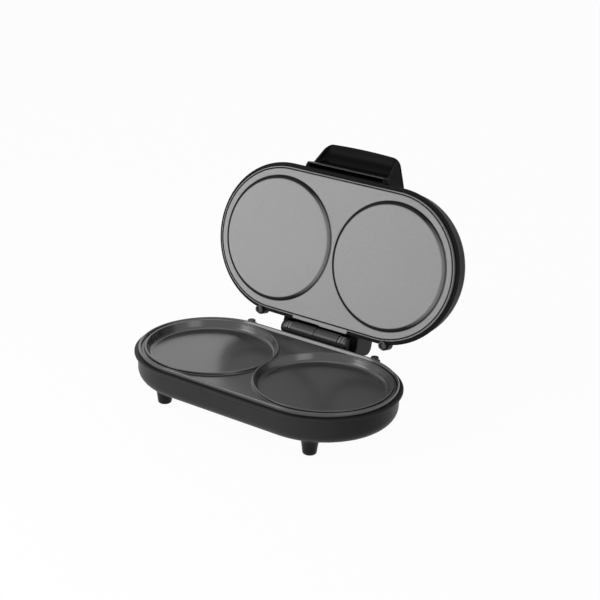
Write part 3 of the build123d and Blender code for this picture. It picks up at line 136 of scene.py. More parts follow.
# ---------------------------------------------------------------- node helpers
class Graph:
    """A material's node tree, built by name."""

    def __init__(self, name):
        self.material = bpy.data.materials.new(name)
        self.material.use_nodes = True
        self.tree = self.material.node_tree
        self.shader = self.tree.nodes["Principled BSDF"]
        self.output = self.tree.nodes["Material Output"]
        self.place = self.tree.nodes.new("ShaderNodeTexCoord").outputs["Object"]

    def node(self, kind, **inputs):
        """A node of a kind, its inputs given by name."""
        made = self.tree.nodes.new(kind)
        for key, value in inputs.items():
            self.feed(made.inputs[key.replace("_", " ")], value)
        return made

    def feed(self, socket, value):
        """Gives a socket another socket's value, or a constant."""
        if isinstance(value, bpy.types.NodeSocket):
            self.tree.links.new(value, socket)
        else:
            socket.default_value = value

    def math(self, operation, a, b=0.0):
        """The result of one operation on one or two values."""
        made = self.tree.nodes.new("ShaderNodeMath")
        made.operation = operation
        self.feed(made.inputs[0], a)
        self.feed(made.inputs[1], b)
        return made.outputs[0]

    def product(self, a, b):
        return self.math("MULTIPLY", a, b)

    def mapped(self, value, low, high, to_low, to_high):
        """A value carried from one range to another, held at the ends."""
        made = self.node("ShaderNodeMapRange", Value=value)
        made.inputs["From Min"].default_value = low
        made.inputs["From Max"].default_value = high
        made.inputs["To Min"].default_value = to_low
        made.inputs["To Max"].default_value = to_high
        return made.outputs["Result"]

    def noise(self, scale, detail=2.0, place=None):
        """Cloudy pattern from 0 to 1; the scale is in waves per metre."""
        made = self.node("ShaderNodeTexNoise", Scale=scale, Detail=detail)
        self.feed(made.inputs["Vector"], place or self.place)
        return made.outputs["Fac"]

    def cells(self, scale):
        """Distance to the nearest of scattered points."""
        return self.node("ShaderNodeTexVoronoi", Scale=scale, Vector=self.place).outputs["Distance"]

    def stretched(self, scale):
        """Object coordinates scaled apart by axis, for turned and rolled surfaces."""
        made = self.node("ShaderNodeMapping", Vector=self.place)
        made.inputs["Scale"].default_value = scale
        return made.outputs["Vector"]

    def blend(self, factor, dark, light):
        """The colour between two, by a factor from 0 to 1."""
        made = self.tree.nodes.new("ShaderNodeMix")
        made.data_type = "RGBA"
        self.feed(made.inputs[0], factor)
        for socket, colour in ((made.inputs[6], dark), (made.inputs[7], light)):
            self.feed(socket, colour if isinstance(colour, bpy.types.NodeSocket) else (*colour, 1.0))
        return made.outputs[2]

    def bump(self, height, distance, strength):
        """A normal tilted by the slope of a height."""
        return self.node("ShaderNodeBump", Height=height, Distance=distance, Strength=strength).outputs["Normal"]

    def along(self, axis):
        """How far a point lies from the lid's origin along one of the lid's axes."""
        made = self.tree.nodes.new("ShaderNodeVectorMath")
        made.operation = "SUBTRACT"
        self.feed(made.inputs[0], self.place)
        made.inputs[1].default_value = tuple(lid_origin)
        dot = self.tree.nodes.new("ShaderNodeVectorMath")
        dot.operation = "DOT_PRODUCT"
        self.feed(dot.inputs[0], made.outputs[0])
        dot.inputs[1].default_value = tuple(axis)
        return dot.outputs["Value"]

    def length_of(self, x, y):
        """The square root of the sum of two squares."""
        return self.math("SQRT", self.math("ADD", self.product(x, x), self.product(y, y)))

    def band(self, value, low, high, soft):
        """1 inside a range of values and 0 outside it, with soft ends."""
        rising = self.mapped(value, low - soft, low + soft, 0.0, 1.0)
        falling = self.mapped(value, high - soft, high + soft, 1.0, 0.0)
        return self.product(rising, falling)

    def patch(self, first, first_range, second, second_range, soft):
        """1 where two values are both within their ranges, with soft edges."""
        return self.product(self.band(first, *first_range, soft), self.band(second, *second_range, soft))

    def painted_shade_rings(self):
        """Masks for painted shade on the disc plate, by distance: 1 in the groove at each disc's foot, 1 on each
        disc's slope,
        1 in the line inside the rim band, and how far round a disc a point lies towards the plate's right end."""
        place = self.along(lid_across)
        x = self.math("ABSOLUTE", place)
        y = self.along(lid_up)
        from_middle = self.math("SUBTRACT", x, cup_pitch / 2)
        radius = self.length_of(from_middle, y)
        past_straight = self.math("MAXIMUM", self.math("SUBTRACT", x, end_centre), 0.0)
        inset = self.math("SUBTRACT", plate_half_width, self.length_of(past_straight, y))
        right = self.product(from_middle, self.math("SIGN", place))
        return (
            self.band(radius, cup_radius - 0.0020, cup_radius + 0.0002, 0.0003),
            self.band(radius, cup_radius - 0.0043, cup_radius - 0.0008, 0.0006),
            self.band(inset, 0.0011, 0.0027, 0.0003),
            self.math("DIVIDE", right, radius),
        )

    def set(self, **values):
        """Gives the shader its values by name."""
        for key, value in values.items():
            self.feed(self.shader.inputs[key.replace("_", " ")], value)


def grey(value, warmth=0.0):
    """A grey of that linear value, a little warm or cool."""
    return (value * (1 + warmth), value, value * (1 - warmth))


# ---------------------------------------------------------------- finishes
lip_shade_depth = (-0.0030, 0.0064)        # the lid's lip, from the plate's face; painted shade darkens the housing there
# where the handle's colour holds painted light (the ledge's outer bar, the grip's side walls) and painted shade (the
# slot)
lit_bar_reach, lit_bar_depth = (-0.0985, -0.0954), (-0.0020, 0.0070)
shaded_slot_reach, shaded_slot_depth = (-0.0953, -0.0911), (-0.0004, 0.0110)
lit_wall_across, lit_wall_depth = (-0.0031, 0.0030), (0.0073, 0.0285)


def grained(name, grain, tones, roughness, relief, stretch=None, **rest):
    """A finish made from one noise: its scale and detail, its two tones, its range of roughness and the height and
    strength of its relief. A stretch by axis draws it out into lines."""
    g = Graph(name)
    pattern = g.noise(*grain, g.stretched(stretch) if stretch else None)
    g.set(
        Base_Color=g.blend(pattern, *tones),
        Roughness=g.mapped(pattern, 0.3, 0.7, *roughness),
        Normal=g.bump(pattern, *relief),
        **rest,
    )
    return g.material


def moulded_shell():
    """Dark grey moulded housing: fine spark-eroded grain, satin, with faint flow clouds; painted shade darkens the
    lip round the lid's plate, and its gloss is lowered there."""
    g = Graph("moulded_shell")
    grain = g.noise(1900.0, 3.0)
    clouds = g.noise(22.0, 2.0)
    tone = g.math("ADD", g.product(grain, 0.35), g.product(clouds, 0.65))
    # painted shade: the lid's lip, as if shadowed by the plate
    lip = g.band(g.along(lid_depth), *lip_shade_depth, 0.0004)
    shell = g.blend(tone, grey(0.013, 0.01), grey(0.021, -0.01))
    g.set(
        # painted shade: near-black over the lid's lip
        Base_Color=g.blend(g.product(lip, 0.72), shell, grey(0.003)),
        Roughness=g.mapped(grain, 0.3, 0.7, 0.34, 0.46),
        Normal=g.bump(grain, 0.00006, 0.35),
        Specular_IOR_Level=g.mapped(lip, 0.0, 1.0, 0.10, 0.05),
    )
    return g.material


def glossy_grip():
    """Black handle: smooth, with a slight orange peel and hairline wipe marks in its gloss. The ledge's outer bar
    and, less so, the grip's side walls have painted light: a lighter grey, with more shine; the ledge's slot has
    painted shade: black inside."""
    g = Graph("glossy_grip")
    peel = g.noise(170.0, 1.5)
    wipes = g.noise(30.0, 4.0, g.stretched((0.25, 4.0, 4.0)))
    across = g.math("ABSOLUTE", g.along(lid_across))
    reach = g.along(lid_up)
    depth = g.along(lid_depth)

    # painted light: the ledge's outer bar is lighter, fading towards the slot's ends
    bar = g.patch(reach, lit_bar_reach, depth, lit_bar_depth, 0.0002)
    bar = g.product(bar, g.mapped(across, slot_half, slot_half + 0.0016, 1.0, 0.3))
    # painted shade: the inside of the ledge's slot
    slot = g.product(g.band(reach, *shaded_slot_reach, 0.0002), g.band(depth, *shaded_slot_depth, 0.0003))
    slot = g.product(slot, g.mapped(across, slot_half - 0.0002, slot_half + 0.0002, 1.0, 0.0))

    # half the grip's width at each point, as in handle_half_width
    taper = (handle_root - handle_tip) / (handle_inner - handle_outer)
    half = g.math("ADD", g.product(reach, taper), handle_root - taper * handle_inner - handle_lean * lid_back)
    half = g.math("ADD", half, g.product(depth, handle_lean))
    # painted light: the grip's side walls are lighter
    wall = g.patch(g.math("SUBTRACT", across, half), lit_wall_across, depth, lit_wall_depth, 0.0003)

    base = g.blend(peel, grey(0.0009), grey(0.0018))
    # painted light: lighter grey on the side walls and on the outer bar
    base = g.blend(wall, base, grey(0.0075))
    base = g.blend(bar, base, grey(0.027))
    shine = g.math("MAXIMUM", g.mapped(bar, 0.0, 1.0, 0.045, 0.14), g.mapped(wall, 0.0, 1.0, 0.045, 0.075))
    g.set(
        # painted shade: the slot near-black, with no gloss
        Base_Color=g.blend(slot, base, grey(0.0003)),
        Roughness=g.mapped(wipes, 0.35, 0.7, 0.26, 0.38),
        Normal=g.bump(peel, 0.00009, 0.2),
        Specular_IOR_Level=g.product(shine, g.mapped(slot, 0.0, 1.0, 1.0, 0.0)),
    )
    return g.material


def dark_nonstick():
    """Dark non-stick coating on cast metal: fine pigment flecks, satin, with dull clouds."""
    g = Graph("dark_nonstick")
    flecks = g.cells(1700.0)
    clouds = g.noise(16.0, 3.0)
    speck = g.mapped(flecks, 0.12, 0.42, 1.0, 0.0)
    g.set(
        Base_Color=g.blend(speck, grey(0.0085, -0.01), grey(0.012, -0.01)),
        Roughness=g.mapped(clouds, 0.3, 0.7, 0.19, 0.26),
        Normal=g.bump(flecks, 0.00001, 0.08),
        Specular_IOR_Level=0.8,
        Coat_Weight=0.4,
        Coat_Roughness=0.18,
    )
    return g.material


def pale_nonstick():
    """Mid-grey non-stick coating: close mica grain, matte, mottled, with soft clouds. Painted shade darkens it in the
    groove at each disc's foot and in the line inside the rim band, and on the discs' slopes, less so towards the
    right; its gloss is lowered there too."""
    g = Graph("pale_nonstick")
    grain = g.noise(1500.0, 2.0)
    mica = g.cells(1150.0)
    clouds = g.noise(12.0, 2.0)
    mottle = g.noise(430.0, 3.0)
    tone = g.math("ADD", g.product(grain, 0.3), g.product(clouds, 0.2))
    tone = g.math("ADD", tone, g.product(mottle, 0.5))
    groove, slope, line, side = g.painted_shade_rings()
    # painted shade on the discs' slopes, lighter towards the right
    painted_slope_shade = g.product(slope, g.mapped(side, 0.50, 0.90, 0.95, 0.08))
    base = g.blend(tone, grey(0.165), grey(0.250))
    base = g.blend(painted_slope_shade, base, grey(0.008))
    # painted shade in the groove at each disc's foot, less towards the right
    base = g.blend(g.product(groove, g.mapped(side, 0.55, 0.95, 0.95, 0.60)), base, grey(0.008))
    # painted shade in the line inside the rim band
    base = g.blend(g.product(line, 0.97), base, grey(0.004))
    dull = g.math("MAXIMUM", g.math("MAXIMUM", groove, line), painted_slope_shade)
    g.set(
        Base_Color=base,
        Roughness=g.mapped(mica, 0.1, 0.5, 0.44, 0.58),
        Normal=g.bump(grain, 0.00008, 0.4),
        Specular_IOR_Level=g.mapped(dull, 0.0, 1.0, 0.42, 0.08),
    )
    return g.material


def heated_sheath():
    """Sheath of the heating loops: steel browned by heat, in bands and blotches."""
    g = Graph("heated_sheath")
    blotches = g.noise(45.0, 4.0)
    g.set(
        Base_Color=g.blend(blotches, (0.10, 0.075, 0.06), (0.24, 0.22, 0.21)),
        Metallic=0.9,
        Roughness=g.mapped(blotches, 0.3, 0.7, 0.38, 0.55),
        Normal=g.bump(g.noise(1100.0, 2.0), 0.00003, 0.3),
    )
    return g.material


def fired_ceramic():
    """Off-white fired ceramic of the thermostat and the terminal block: pitted and warm."""
    g = Graph("fired_ceramic")
    pits = g.cells(900.0)
    g.set(
        Base_Color=g.blend(g.noise(120.0, 3.0), (0.62, 0.58, 0.49), (0.78, 0.75, 0.68)),
        Roughness=0.62,
        Normal=g.bump(pits, 0.00006, 0.35),
    )
    return g.material


def lamp_lens(name, dark, light):
    """Clear coloured lens of a pilot lamp: a fine prism pattern seen through a smooth skin."""
    g = Graph(name)
    prisms = g.cells(1300.0)
    g.set(
        Base_Color=g.blend(g.mapped(prisms, 0.1, 0.5, 0.0, 1.0), dark, light),
        Roughness=0.12,
        Normal=g.bump(prisms, 0.00008, 0.3),
        Transmission_Weight=0.35,
        IOR=1.49,
    )
    return g.material


finishes = {
    "housing": moulded_shell(),
    "handle": glossy_grip(),
    "lower_plate": dark_nonstick(),
    "upper_plate": pale_nonstick(),
    # painted barrel with fine turning rings round its axis
    "sleeve": grained(
        "satin_barrel", (900.0, 2.0), (grey(0.014), grey(0.030)), (0.28, 0.40), (0.00003, 0.3),
        (3.0, 0.03, 0.03), Metallic=0.1,
    ),
    # slim collars beside the barrel: satin grey moulding
    "collar": grained("satin_collar", (1400.0, 2.0), (grey(0.075), grey(0.12)), (0.34, 0.44), (0.00004, 0.25)),
    # studs, lugs and washers: dark satin moulding with a cloudy grain
    "buffer": grained("dark_stud", (1200.0, 3.0), (grey(0.021), grey(0.040)), (0.28, 0.40), (0.00005, 0.3)),
    # bright steel of the pin and the screws: fine turning lines
    "steel": grained(
        "turned_steel", (700.0, 2.0), (grey(0.42), grey(0.58)), (0.24, 0.36), (0.00002, 0.3),
        (2.0, 0.3, 0.3), Metallic=1.0,
    ),
    "element": heated_sheath(),
    # mill-finished sheet of the heat shields: rolling lines along its length
    "shield": grained(
        "rolled_sheet", (260.0, 3.0), (grey(0.55), grey(0.70)), (0.30, 0.42), (0.00002, 0.4),
        (0.05, 4.0, 4.0), Metallic=1.0,
    ),
    # posts under the tray: black moulding, a little smoother than the tray
    "foot": grained(
        "foot_moulding", (1500.0, 2.0), (grey(0.003), grey(0.007)), (0.33, 0.44), (0.00004, 0.3),
        Specular_IOR_Level=0.13,
    ),
    # soft black rubber with a dusty bloom
    "rubber": grained("rubber_pad", (400.0, 4.0), (grey(0.012), grey(0.030, 0.02)), (0.72, 0.88), (0.00006, 0.35)),
    "ceramic": fired_ceramic(),
    "lamp_red": lamp_lens("red_lens", (0.22, 0.010, 0.008), (0.62, 0.05, 0.04)),
    "lamp_green": lamp_lens("green_lens", (0.012, 0.15, 0.03), (0.06, 0.48, 0.12)),
}
for part in frame["record"]["subparts"]:
    node = frame["nodes"][part["node"]]
    node.data.materials.clear()
    node.data.materials.append(finishes[part["material_slot"]])


# ---------------------------------------------------------------- meshes from numpy surfaces
def make_piece(name, points, quads, body, slot, sharp=38.0):
    """A piece from points (n, 3) and four-cornered faces (m, 4): equal points are merged, faces that shrink to a
    line are dropped, and edges sharper than an angle stay crisp while the rest is shaded round."""
    keys = np.round(points / 2e-7).astype(np.int64)
    _, first, place = np.unique(keys, axis=0, return_index=True, return_inverse=True)
    place = place.reshape(-1)
    quads = place[quads]
    triangles = np.concatenate([quads[:, [0, 1, 2]], quads[:, [0, 2, 3]]])
    a, b, c = triangles.T
    triangles = triangles[(a != b) & (b != c) & (c != a)]
    used, triangles = np.unique(triangles, return_inverse=True)
    triangles = triangles.reshape(-1, 3)
    corners = points[first[used]]
    a, b, c = (corners[triangles[:, k]] - corners.mean(0) for k in range(3))
    if np.einsum("ij,ij->i", a, np.cross(b, c)).sum() < 0:
        triangles = triangles[:, ::-1]
    mesh = bpy.data.meshes.new(name)
    mesh.vertices.add(len(corners))
    mesh.vertices.foreach_set("co", corners.astype(np.float32).ravel())
    mesh.loops.add(triangles.size)
    mesh.loops.foreach_set("vertex_index", triangles.astype(np.int32).ravel())
    mesh.polygons.add(len(triangles))
    mesh.polygons.foreach_set("loop_start", np.arange(0, triangles.size, 3, dtype=np.int32))
    mesh.polygons.foreach_set("use_smooth", np.ones(len(triangles), bool))
    mesh.update(calc_edges=True)
    mesh.validate()
    mesh.set_sharp_from_angle(angle=math.radians(sharp))
    mesh.materials.append(finishes[slot])
    piece = bpy.data.objects.new(name, mesh)
    bpy.context.scene.collection.objects.link(piece)
    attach(piece, body)
    return piece


def grid_quads(rows, columns, wrap_rows=False, wrap_columns=False):
    """Corner numbers of the faces of a grid of points, row by row, closed round where it wraps."""
    i, j = np.meshgrid(
        np.arange(rows if wrap_rows else rows - 1), np.arange(columns if wrap_columns else columns - 1), indexing="ij"
    )
    down, along = (i + 1) % rows, (j + 1) % columns
    corners = [i * columns + j, i * columns + along, down * columns + along, down * columns + j]
    return np.stack(corners, -1).reshape(-1, 4)


def arc(centre, radius, start, end, steps=7):
    """Points of a circular arc in a profile, from one angle to another in degrees."""
    turn = np.radians(np.linspace(start, end, steps))
    return np.stack([centre[0] + radius * np.cos(turn), centre[1] + radius * np.sin(turn)], -1)


def profile(*runs):
    """One profile from single points and arcs, in order."""
    return np.concatenate([np.atleast_2d(np.asarray(run, float)) for run in runs])


def plate_half(side, cup_top, edge_top, edge_under, cup_under):
    """Half of a two-cup plate as rays from a cup's middle. Each ray follows one profile: out over the cup and its
    bead by radius, over the web and the rim by distance from the plate's edge, down the side and back underneath.
    A ray that meets the plane between the cups stops there at the height its profile has at that spot."""
    corner = math.atan2(plate_half_width, cup_pitch / 2)
    crossings = np.arctan2(plate_half_width - np.concatenate([edge_top[:, 0], edge_under[:, 0]]), cup_pitch / 2)
    near = np.unique(np.round(np.concatenate([np.linspace(-corner, corner, 61), crossings, -crossings]), 9))
    turns = np.concatenate([near, np.linspace(corner, 2 * math.pi - corner, 181)[1:-1]])
    ray = np.stack([np.cos(turns), np.sin(turns)], -1)

    def to_edge(inset):
        """Distance along each ray from the cup's middle to the line that runs that far inside the plate's edge."""
        inset = np.asarray(inset)[None, :]
        width = plate_half_width - inset
        sine = np.abs(ray[:, 1:2])
        straight = width / np.maximum(sine, 1e-9)
        beyond = cup_pitch / 2 - end_centre
        along = -beyond * ray[:, 0:1]
        round_end = -along + np.sqrt(np.maximum(along**2 - beyond**2 + width**2, 0))
        on_straight = -cup_pitch / 2 + straight * ray[:, 0:1] >= -end_centre
        return np.where(on_straight, straight, round_end)

    def sheet(cup, edge):
        """Points of one side of the plate, ray by ray: the cup's profile, then the edge's."""
        radius = np.concatenate([np.broadcast_to(cup[:, 0], (len(turns), len(cup))), to_edge(edge[:, 0])], 1)
        height = np.broadcast_to(np.concatenate([cup[:, 1], edge[:, 1]]), radius.shape).copy()
        limit = np.where(ray[:, 0:1] > 1e-9, cup_pitch / 2 / np.maximum(ray[:, 0:1], 1e-9), 1e9)
        past = radius > limit + 1e-9
        stopped = np.minimum(radius, limit)
        inset = plate_half_width - np.abs(stopped * ray[:, 1:2])
        order = np.argsort(edge[:, 0], kind="stable")
        by_edge = np.interp(inset, edge[order, 0], edge[order, 1])
        by_cup = np.interp(stopped, cup[:, 0], cup[:, 1])
        there = np.where(stopped < cup[-1, 0], by_cup, by_edge)
        height = np.where(past, there, height)
        x = side * (cup_pitch / 2 - stopped * ray[:, 0:1])
        y = stopped * ray[:, 1:2]
        return np.stack([x, y, height], -1)

    upper = sheet(cup_top, edge_top)
    under = sheet(cup_under, edge_under)
    points = np.concatenate([upper, under[:, ::-1]], 1)
    quads = grid_quads(points.shape[0], points.shape[1], wrap_rows=True)
    if side < 0:
        quads = quads[:, ::-1]
    flat = points.reshape(-1, 3)
    on_plane = np.all(np.abs(flat[quads][..., 0]) < 1e-7, axis=1)
    return flat, quads[~on_plane]


def whole_plate(name, profiles, body, slot, place=None):
    """Both halves of a plate, joined where they meet between the cups."""
    left, left_quads = plate_half(-1, *profiles)
    right, right_quads = plate_half(1, *profiles)
    points = np.concatenate([left, right])
    quads = np.concatenate([left_quads, right_quads + len(left)])
    if place is not None:
        points = place(points)
    return make_piece(name, points, quads, body, slot)


# ---------------------------------------------------------------- cooking plates
web_level = rim_height - web_drop
cup_floor = rim_height - cup_depth
bead_top = web_level + bead_height
bead_outer = cup_radius + bead_width
lower_profiles = (
    # cup and bead, by radius
    profile(
        (0, cup_floor), (0.02, cup_floor), (0.045, cup_floor), (0.062, cup_floor),
        arc((cup_radius - cup_lean - floor_round, cup_floor + floor_round), floor_round, -90, -14, 9),
        (cup_radius - 0.0004, bead_top - 0.0022),
        arc((cup_radius + bead_inner_round, bead_top - bead_inner_round), bead_inner_round, 175, 90, 7),
        arc((bead_outer - bead_outer_round, bead_top - bead_outer_round), bead_outer_round, 90, 4, 7),
        (bead_outer + 0.0001, web_level + 0.0009),
        arc((bead_outer + 0.0009, web_level + bead_foot_round), bead_foot_round, 190, 270, 5),
        (bead_outer + 0.0012, web_level),
    ),
    # web and rim, by distance from the edge
    profile(
        (0.0048, web_level), (0.0044, web_level),
        (0.0040, web_level + 0.0002), (0.0037, web_level + 0.0009), (0.0026, rim_height - 0.0007),
        (0.0022, rim_height - 0.0002), (0.0017, rim_height),
        (0.0011, rim_height - 0.0001), (0.0006, rim_height - 0.0004), (0.0002, rim_height - 0.0009),
        (0.0000, rim_height - 0.0016), (0.0, rim_height - rim_side),
    ),
    # underside of the rim and the web, by distance from the edge
    profile(
        (spigot_inset + spigot_width + 0.0001, rim_height - web_drop - plate_wall),
        (spigot_inset + spigot_width, rim_height - spigot_depth),
        (spigot_inset + 0.0001, rim_height - spigot_depth),
        (spigot_inset, rim_height - rim_side), (0.0001, rim_height - rim_side),
    ),
    # underside of the cup, by radius
    profile(
        (0, cup_floor - plate_wall), (cup_radius - cup_lean + plate_wall - 0.0003, cup_floor - plate_wall),
        (cup_radius + plate_wall, web_level - plate_wall), (bead_outer + 0.0012, web_level - plate_wall),
    ),
)
lower_plate = whole_plate("lower_plate_casting", lower_profiles, "base", "lower_plate")
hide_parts("lower_plate")

disc_rim = cup_radius - disc_slope
upper_profiles = (
    # disc, its slope and the groove at its foot, by radius
    profile(
        (0, -disc_height), (0.02, -disc_height), (0.045, -disc_height), (0.060, -disc_height),
        arc((disc_rim - 0.0008, -disc_height + disc_round), disc_round, -90, -42, 7),
        (cup_radius - 0.0018, 0.0002), (cup_radius - 0.0015, 0.0009),
        (cup_radius - 0.0008, 0.0012), (cup_radius - 0.0002, 0.0009),
        (cup_radius + 0.0001, 0.0003), (cup_radius + 0.0004, 0.0),
        (cup_radius + 0.0010, 0.0),
    ),
    # field, groove inside the rim band, band and round edge, by distance from the edge
    profile(
        (0.0038, 0.0), (0.0031, 0.0), (0.0029, 0.0001), (0.0026, 0.0011), (0.0020, 0.0013), (0.0014, 0.0011),
        (0.0012, 0.0001), (0.0010, 0.0), (0.0006, 0.0001), (0.0002, 0.0004), (0.0, 0.0010), (0.0, upper_rim_side),
    ),
    # underside of the rim and the field, by distance from the edge
    profile(
        (spigot_inset + spigot_width + 0.0001, upper_wall),
        (spigot_inset + spigot_width, upper_spigot), (spigot_inset + 0.0001, upper_spigot),
        (spigot_inset, upper_rim_side), (0.0001, upper_rim_side),
    ),
    # underside of the disc, by radius
    profile(
        (0, upper_wall - disc_height), (disc_rim - upper_wall, upper_wall - disc_height),
        (cup_radius - upper_wall, upper_wall), (cup_radius + 0.0010, upper_wall),
    ),
)
upper_plate = whole_plate("upper_plate_casting", upper_profiles, "lid", "upper_plate", on_lid)
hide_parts("upper_plate")


def tube_of_sections(name, sections, body, slot):
    """A closed bar on the lid from a row of closed cross-sections (n, m, 3), its ends shut by fans to their
    middles."""
    first = np.broadcast_to(sections[:1].mean(1, keepdims=True), sections[:1].shape)
    last = np.broadcast_to(sections[-1:].mean(1, keepdims=True), sections[-1:].shape)
    points = np.concatenate([first, sections, last])
    quads = grid_quads(points.shape[0], points.shape[1], wrap_columns=True)
    return make_piece(name, on_lid(points.reshape(-1, 3)), quads, body, slot)


def rounded_loop(low, high, radius, steps=5):
    """Corners (y, z) of a rectangle with round corners, as one closed loop."""
    (y0, z0), (y1, z1) = low, high
    near_y, near_z, far_y, far_z = y0 + radius, z0 + radius, y1 - radius, z1 - radius
    return profile(
        arc((far_y, far_z), radius, 0, 90, steps),
        arc((near_y, far_z), radius, 90, 180, steps),
        arc((near_y, near_z), radius, 180, 270, steps),
        arc((far_y, near_z), radius, 270, 360, steps),
    )


# the tab over the barrel: its right half reaches a step further
tab_corner = 0.0009
tab_step_half = 0.015     # half the length of the step, as a share of the tab's half length
tab_places = np.array([-1.0, -0.97, -tab_step_half, tab_step_half, 0.97, 1.0]) * tab_half
tab_reaches = np.array([
    tab_reach - tab_corner, tab_reach, tab_reach,
    tab_reach + tab_step, tab_reach + tab_step, tab_reach + tab_step - tab_corner,
])
tab_loops = []
for x, y_out in zip(tab_places, tab_reaches):
    loop = rounded_loop((plate_half_width - spigot_inset, 0.0), (plate_half_width + y_out, upper_rim_side), tab_round)
    tab_loops.append(np.column_stack([np.full(len(loop), x), loop]))
tab = tube_of_sections("upper_plate_tab", np.array(tab_loops), "lid", "upper_plate")
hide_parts("upper_plate")


# ---------------------------------------------------------------- handle
def handle_half_width(y, z):
    """Half the handle's width where it is y along and z deep: a wedge that narrows outwards and towards the plate
    side, with round outer corners."""
    width = handle_root - (handle_root - handle_tip) * (handle_inner - y) / (handle_inner - handle_outer)
    width = width - handle_lean * (lid_back - z)
    from_tip = np.clip(handle_corner - (y - handle_outer), 0, handle_corner)
    return width - (handle_corner - np.sqrt(handle_corner**2 - from_tip**2))


def handle_scoop():
    """The grip as one closed surface. A section runs from the lid along the underside, up the hollow grip (a quarter
    of a flattened ellipse), round the lip and back along the flat back. Towards each end the hollow climbs, by a
    quarter circle, to the side wall's sloping front edge, and the outer lip arches by the square of the distance."""
    tip_y = handle_outer + grip_tip_inset
    turn = np.radians(np.linspace(0, 90, 33))
    hollow = np.column_stack([
        tip_y + (grip_foot - tip_y) * np.cos(turn) ** (2 / grip_fullness),
        grip_floor + grip_rise * np.sin(turn) ** (2 / grip_fullness),
    ])
    share = np.linspace(0, 1, len(turn))
    corners = np.array([
        (grip_foot, grip_floor), (grip_foot, wall_foot), (handle_outer + 0.0033, 0.0282),
        (tip_y, grip_floor + grip_rise),
    ])
    edge = np.column_stack([np.interp(share, [0, 0.10, 0.93, 1], corners[:, k]) for k in (0, 1)])
    foot = np.array([
        (-lid_wall - 0.0003, 0.0074), (-0.0905, 0.0074), (-0.0906, 0.0074), (-0.0950, 0.0074),
        (-0.0951, 0.0074), (-0.0963, 0.0072),
    ])
    lip = np.array([
        (handle_outer + 0.0004, 0.0288), (handle_outer + 0.0001, 0.0292), (handle_outer, grip_lip_level)
    ])
    count = len(foot) + len(hollow) + len(lip)
    round_y = np.array([0.0030, 0.0020, 0.0012, 0.0005, 0.0001, 0.0])
    round_z = np.array([0.0, 0.00005, 0.0002, 0.0006, 0.0010, 0.0014])
    back_y = np.concatenate([
        np.linspace(handle_inner, handle_outer + 0.004, count - len(round_y)), handle_outer + round_y
    ])
    back_z = lid_back - grip_back_fall * (handle_inner - back_y) / (handle_inner - handle_outer)
    back_z[-len(round_z):] -= round_z
    back_z[-1] = grip_lip_level
    back = np.column_stack([back_y, back_z])

    # places of the sections: close together at the ends, at the slot's ends and where the hollow climbs
    depth = np.concatenate([
        [0, 0.0001, 0.0003, 0.0006, 0.0009, 0.0016, 0.0025],
        handle_side + handle_blend * (1 - np.cos(np.radians(np.linspace(0, 90, 11)))),
    ])
    levels = 1 - depth / grip_half
    slot_end = slot_half / grip_half
    levels = np.concatenate([
        levels[levels > slot_end + 1e-3], [slot_end + 0.0008, slot_end], levels[levels < slot_end],
        np.linspace(levels[-1], 0, 16)[1:],
    ])
    levels = np.concatenate([-levels, levels[-2::-1]])
    rows = []
    for u in levels:
        d = (1 - abs(u)) * grip_half
        climb = 1.0 if d < handle_side else 1 - math.sqrt(1 - max(0.0, 1 - (d - handle_side) / handle_blend) ** 2)
        front = edge.copy()
        if d < wall_edge_round:
            front[:, 1] += wall_edge_round - math.sqrt(max(0.0, wall_edge_round**2 - (wall_edge_round - d) ** 2))
            front[:, 1] = np.minimum(front[:, 1], 0.0290)
        under = foot.copy()
        if abs(u) <= slot_end + 1e-9:
            under[2:4, 1] += slot_recess
        section = np.concatenate([under, hollow + climb * (front - hollow), lip, back[::-1]])
        x = u * handle_half_width(section[:, 0], section[:, 1])
        out = np.clip((grip_foot - section[:, 0]) / (grip_foot - handle_outer), 0, 1)
        rows.append(np.column_stack([x, section[:, 0] + handle_bow * u * u * out, section[:, 1]]))
    points = np.array(rows)
    width = points.shape[1]
    quads = [grid_quads(len(rows), width, wrap_columns=True)]
    j = np.arange(count - 1)
    cap = np.column_stack([j, j + 1, width - 2 - j, width - 1 - j])
    quads += [cap + (len(rows) - 1) * width, cap[:, ::-1]]
    return points.reshape(-1, 3), np.concatenate(quads)


scoop_points, scoop_quads = handle_scoop()
scoop = make_piece("handle_scoop", on_lid(scoop_points), scoop_quads, "lid", "handle", 32)
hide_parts("handle_shell")


def slotted_ledge():
    """The ledge bar as a ring with a long slot through it: an outer and an inner round-cornered loop, joined by a
    section with softened front edges."""
    outer = rounded_loop((-ledge_half, grip_foot), (ledge_half, -lid_lip_edge), ledge_round)
    inner = rounded_loop(
        (-slot_half, grip_foot + ledge_outer_bar), (slot_half, -lid_lip_edge - ledge_inner_bar), slot_round
    )
    widen = (outer[:, 1:] - grip_foot) * ledge_flare
    outer = np.column_stack([outer[:, :1] + np.sign(outer[:, :1]) * widen, outer[:, 1:]])
    inward = (inner - outer) / np.linalg.norm(inner - outer, axis=1, keepdims=True)
    rings = [
        (outer, ledge_high), (outer, ledge_low + 0.0006), (outer + inward * 0.0002, ledge_low + 0.0002),
        (outer + inward * 0.0005, ledge_low), (inner - inward * 0.0003, ledge_low), (inner, ledge_low + 0.0003),
        (inner, ledge_high),
    ]
    points = np.stack([np.column_stack([ring, np.full(len(ring), z)]) for ring, z in rings], 1)
    return points.reshape(-1, 3), grid_quads(points.shape[0], points.shape[1], True, True)


ledge_points, ledge_quads = slotted_ledge()
ledge = make_piece("handle_ledge_bar", on_lid(ledge_points), ledge_quads, "lid", "handle", 32)
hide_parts("handle_ledge")


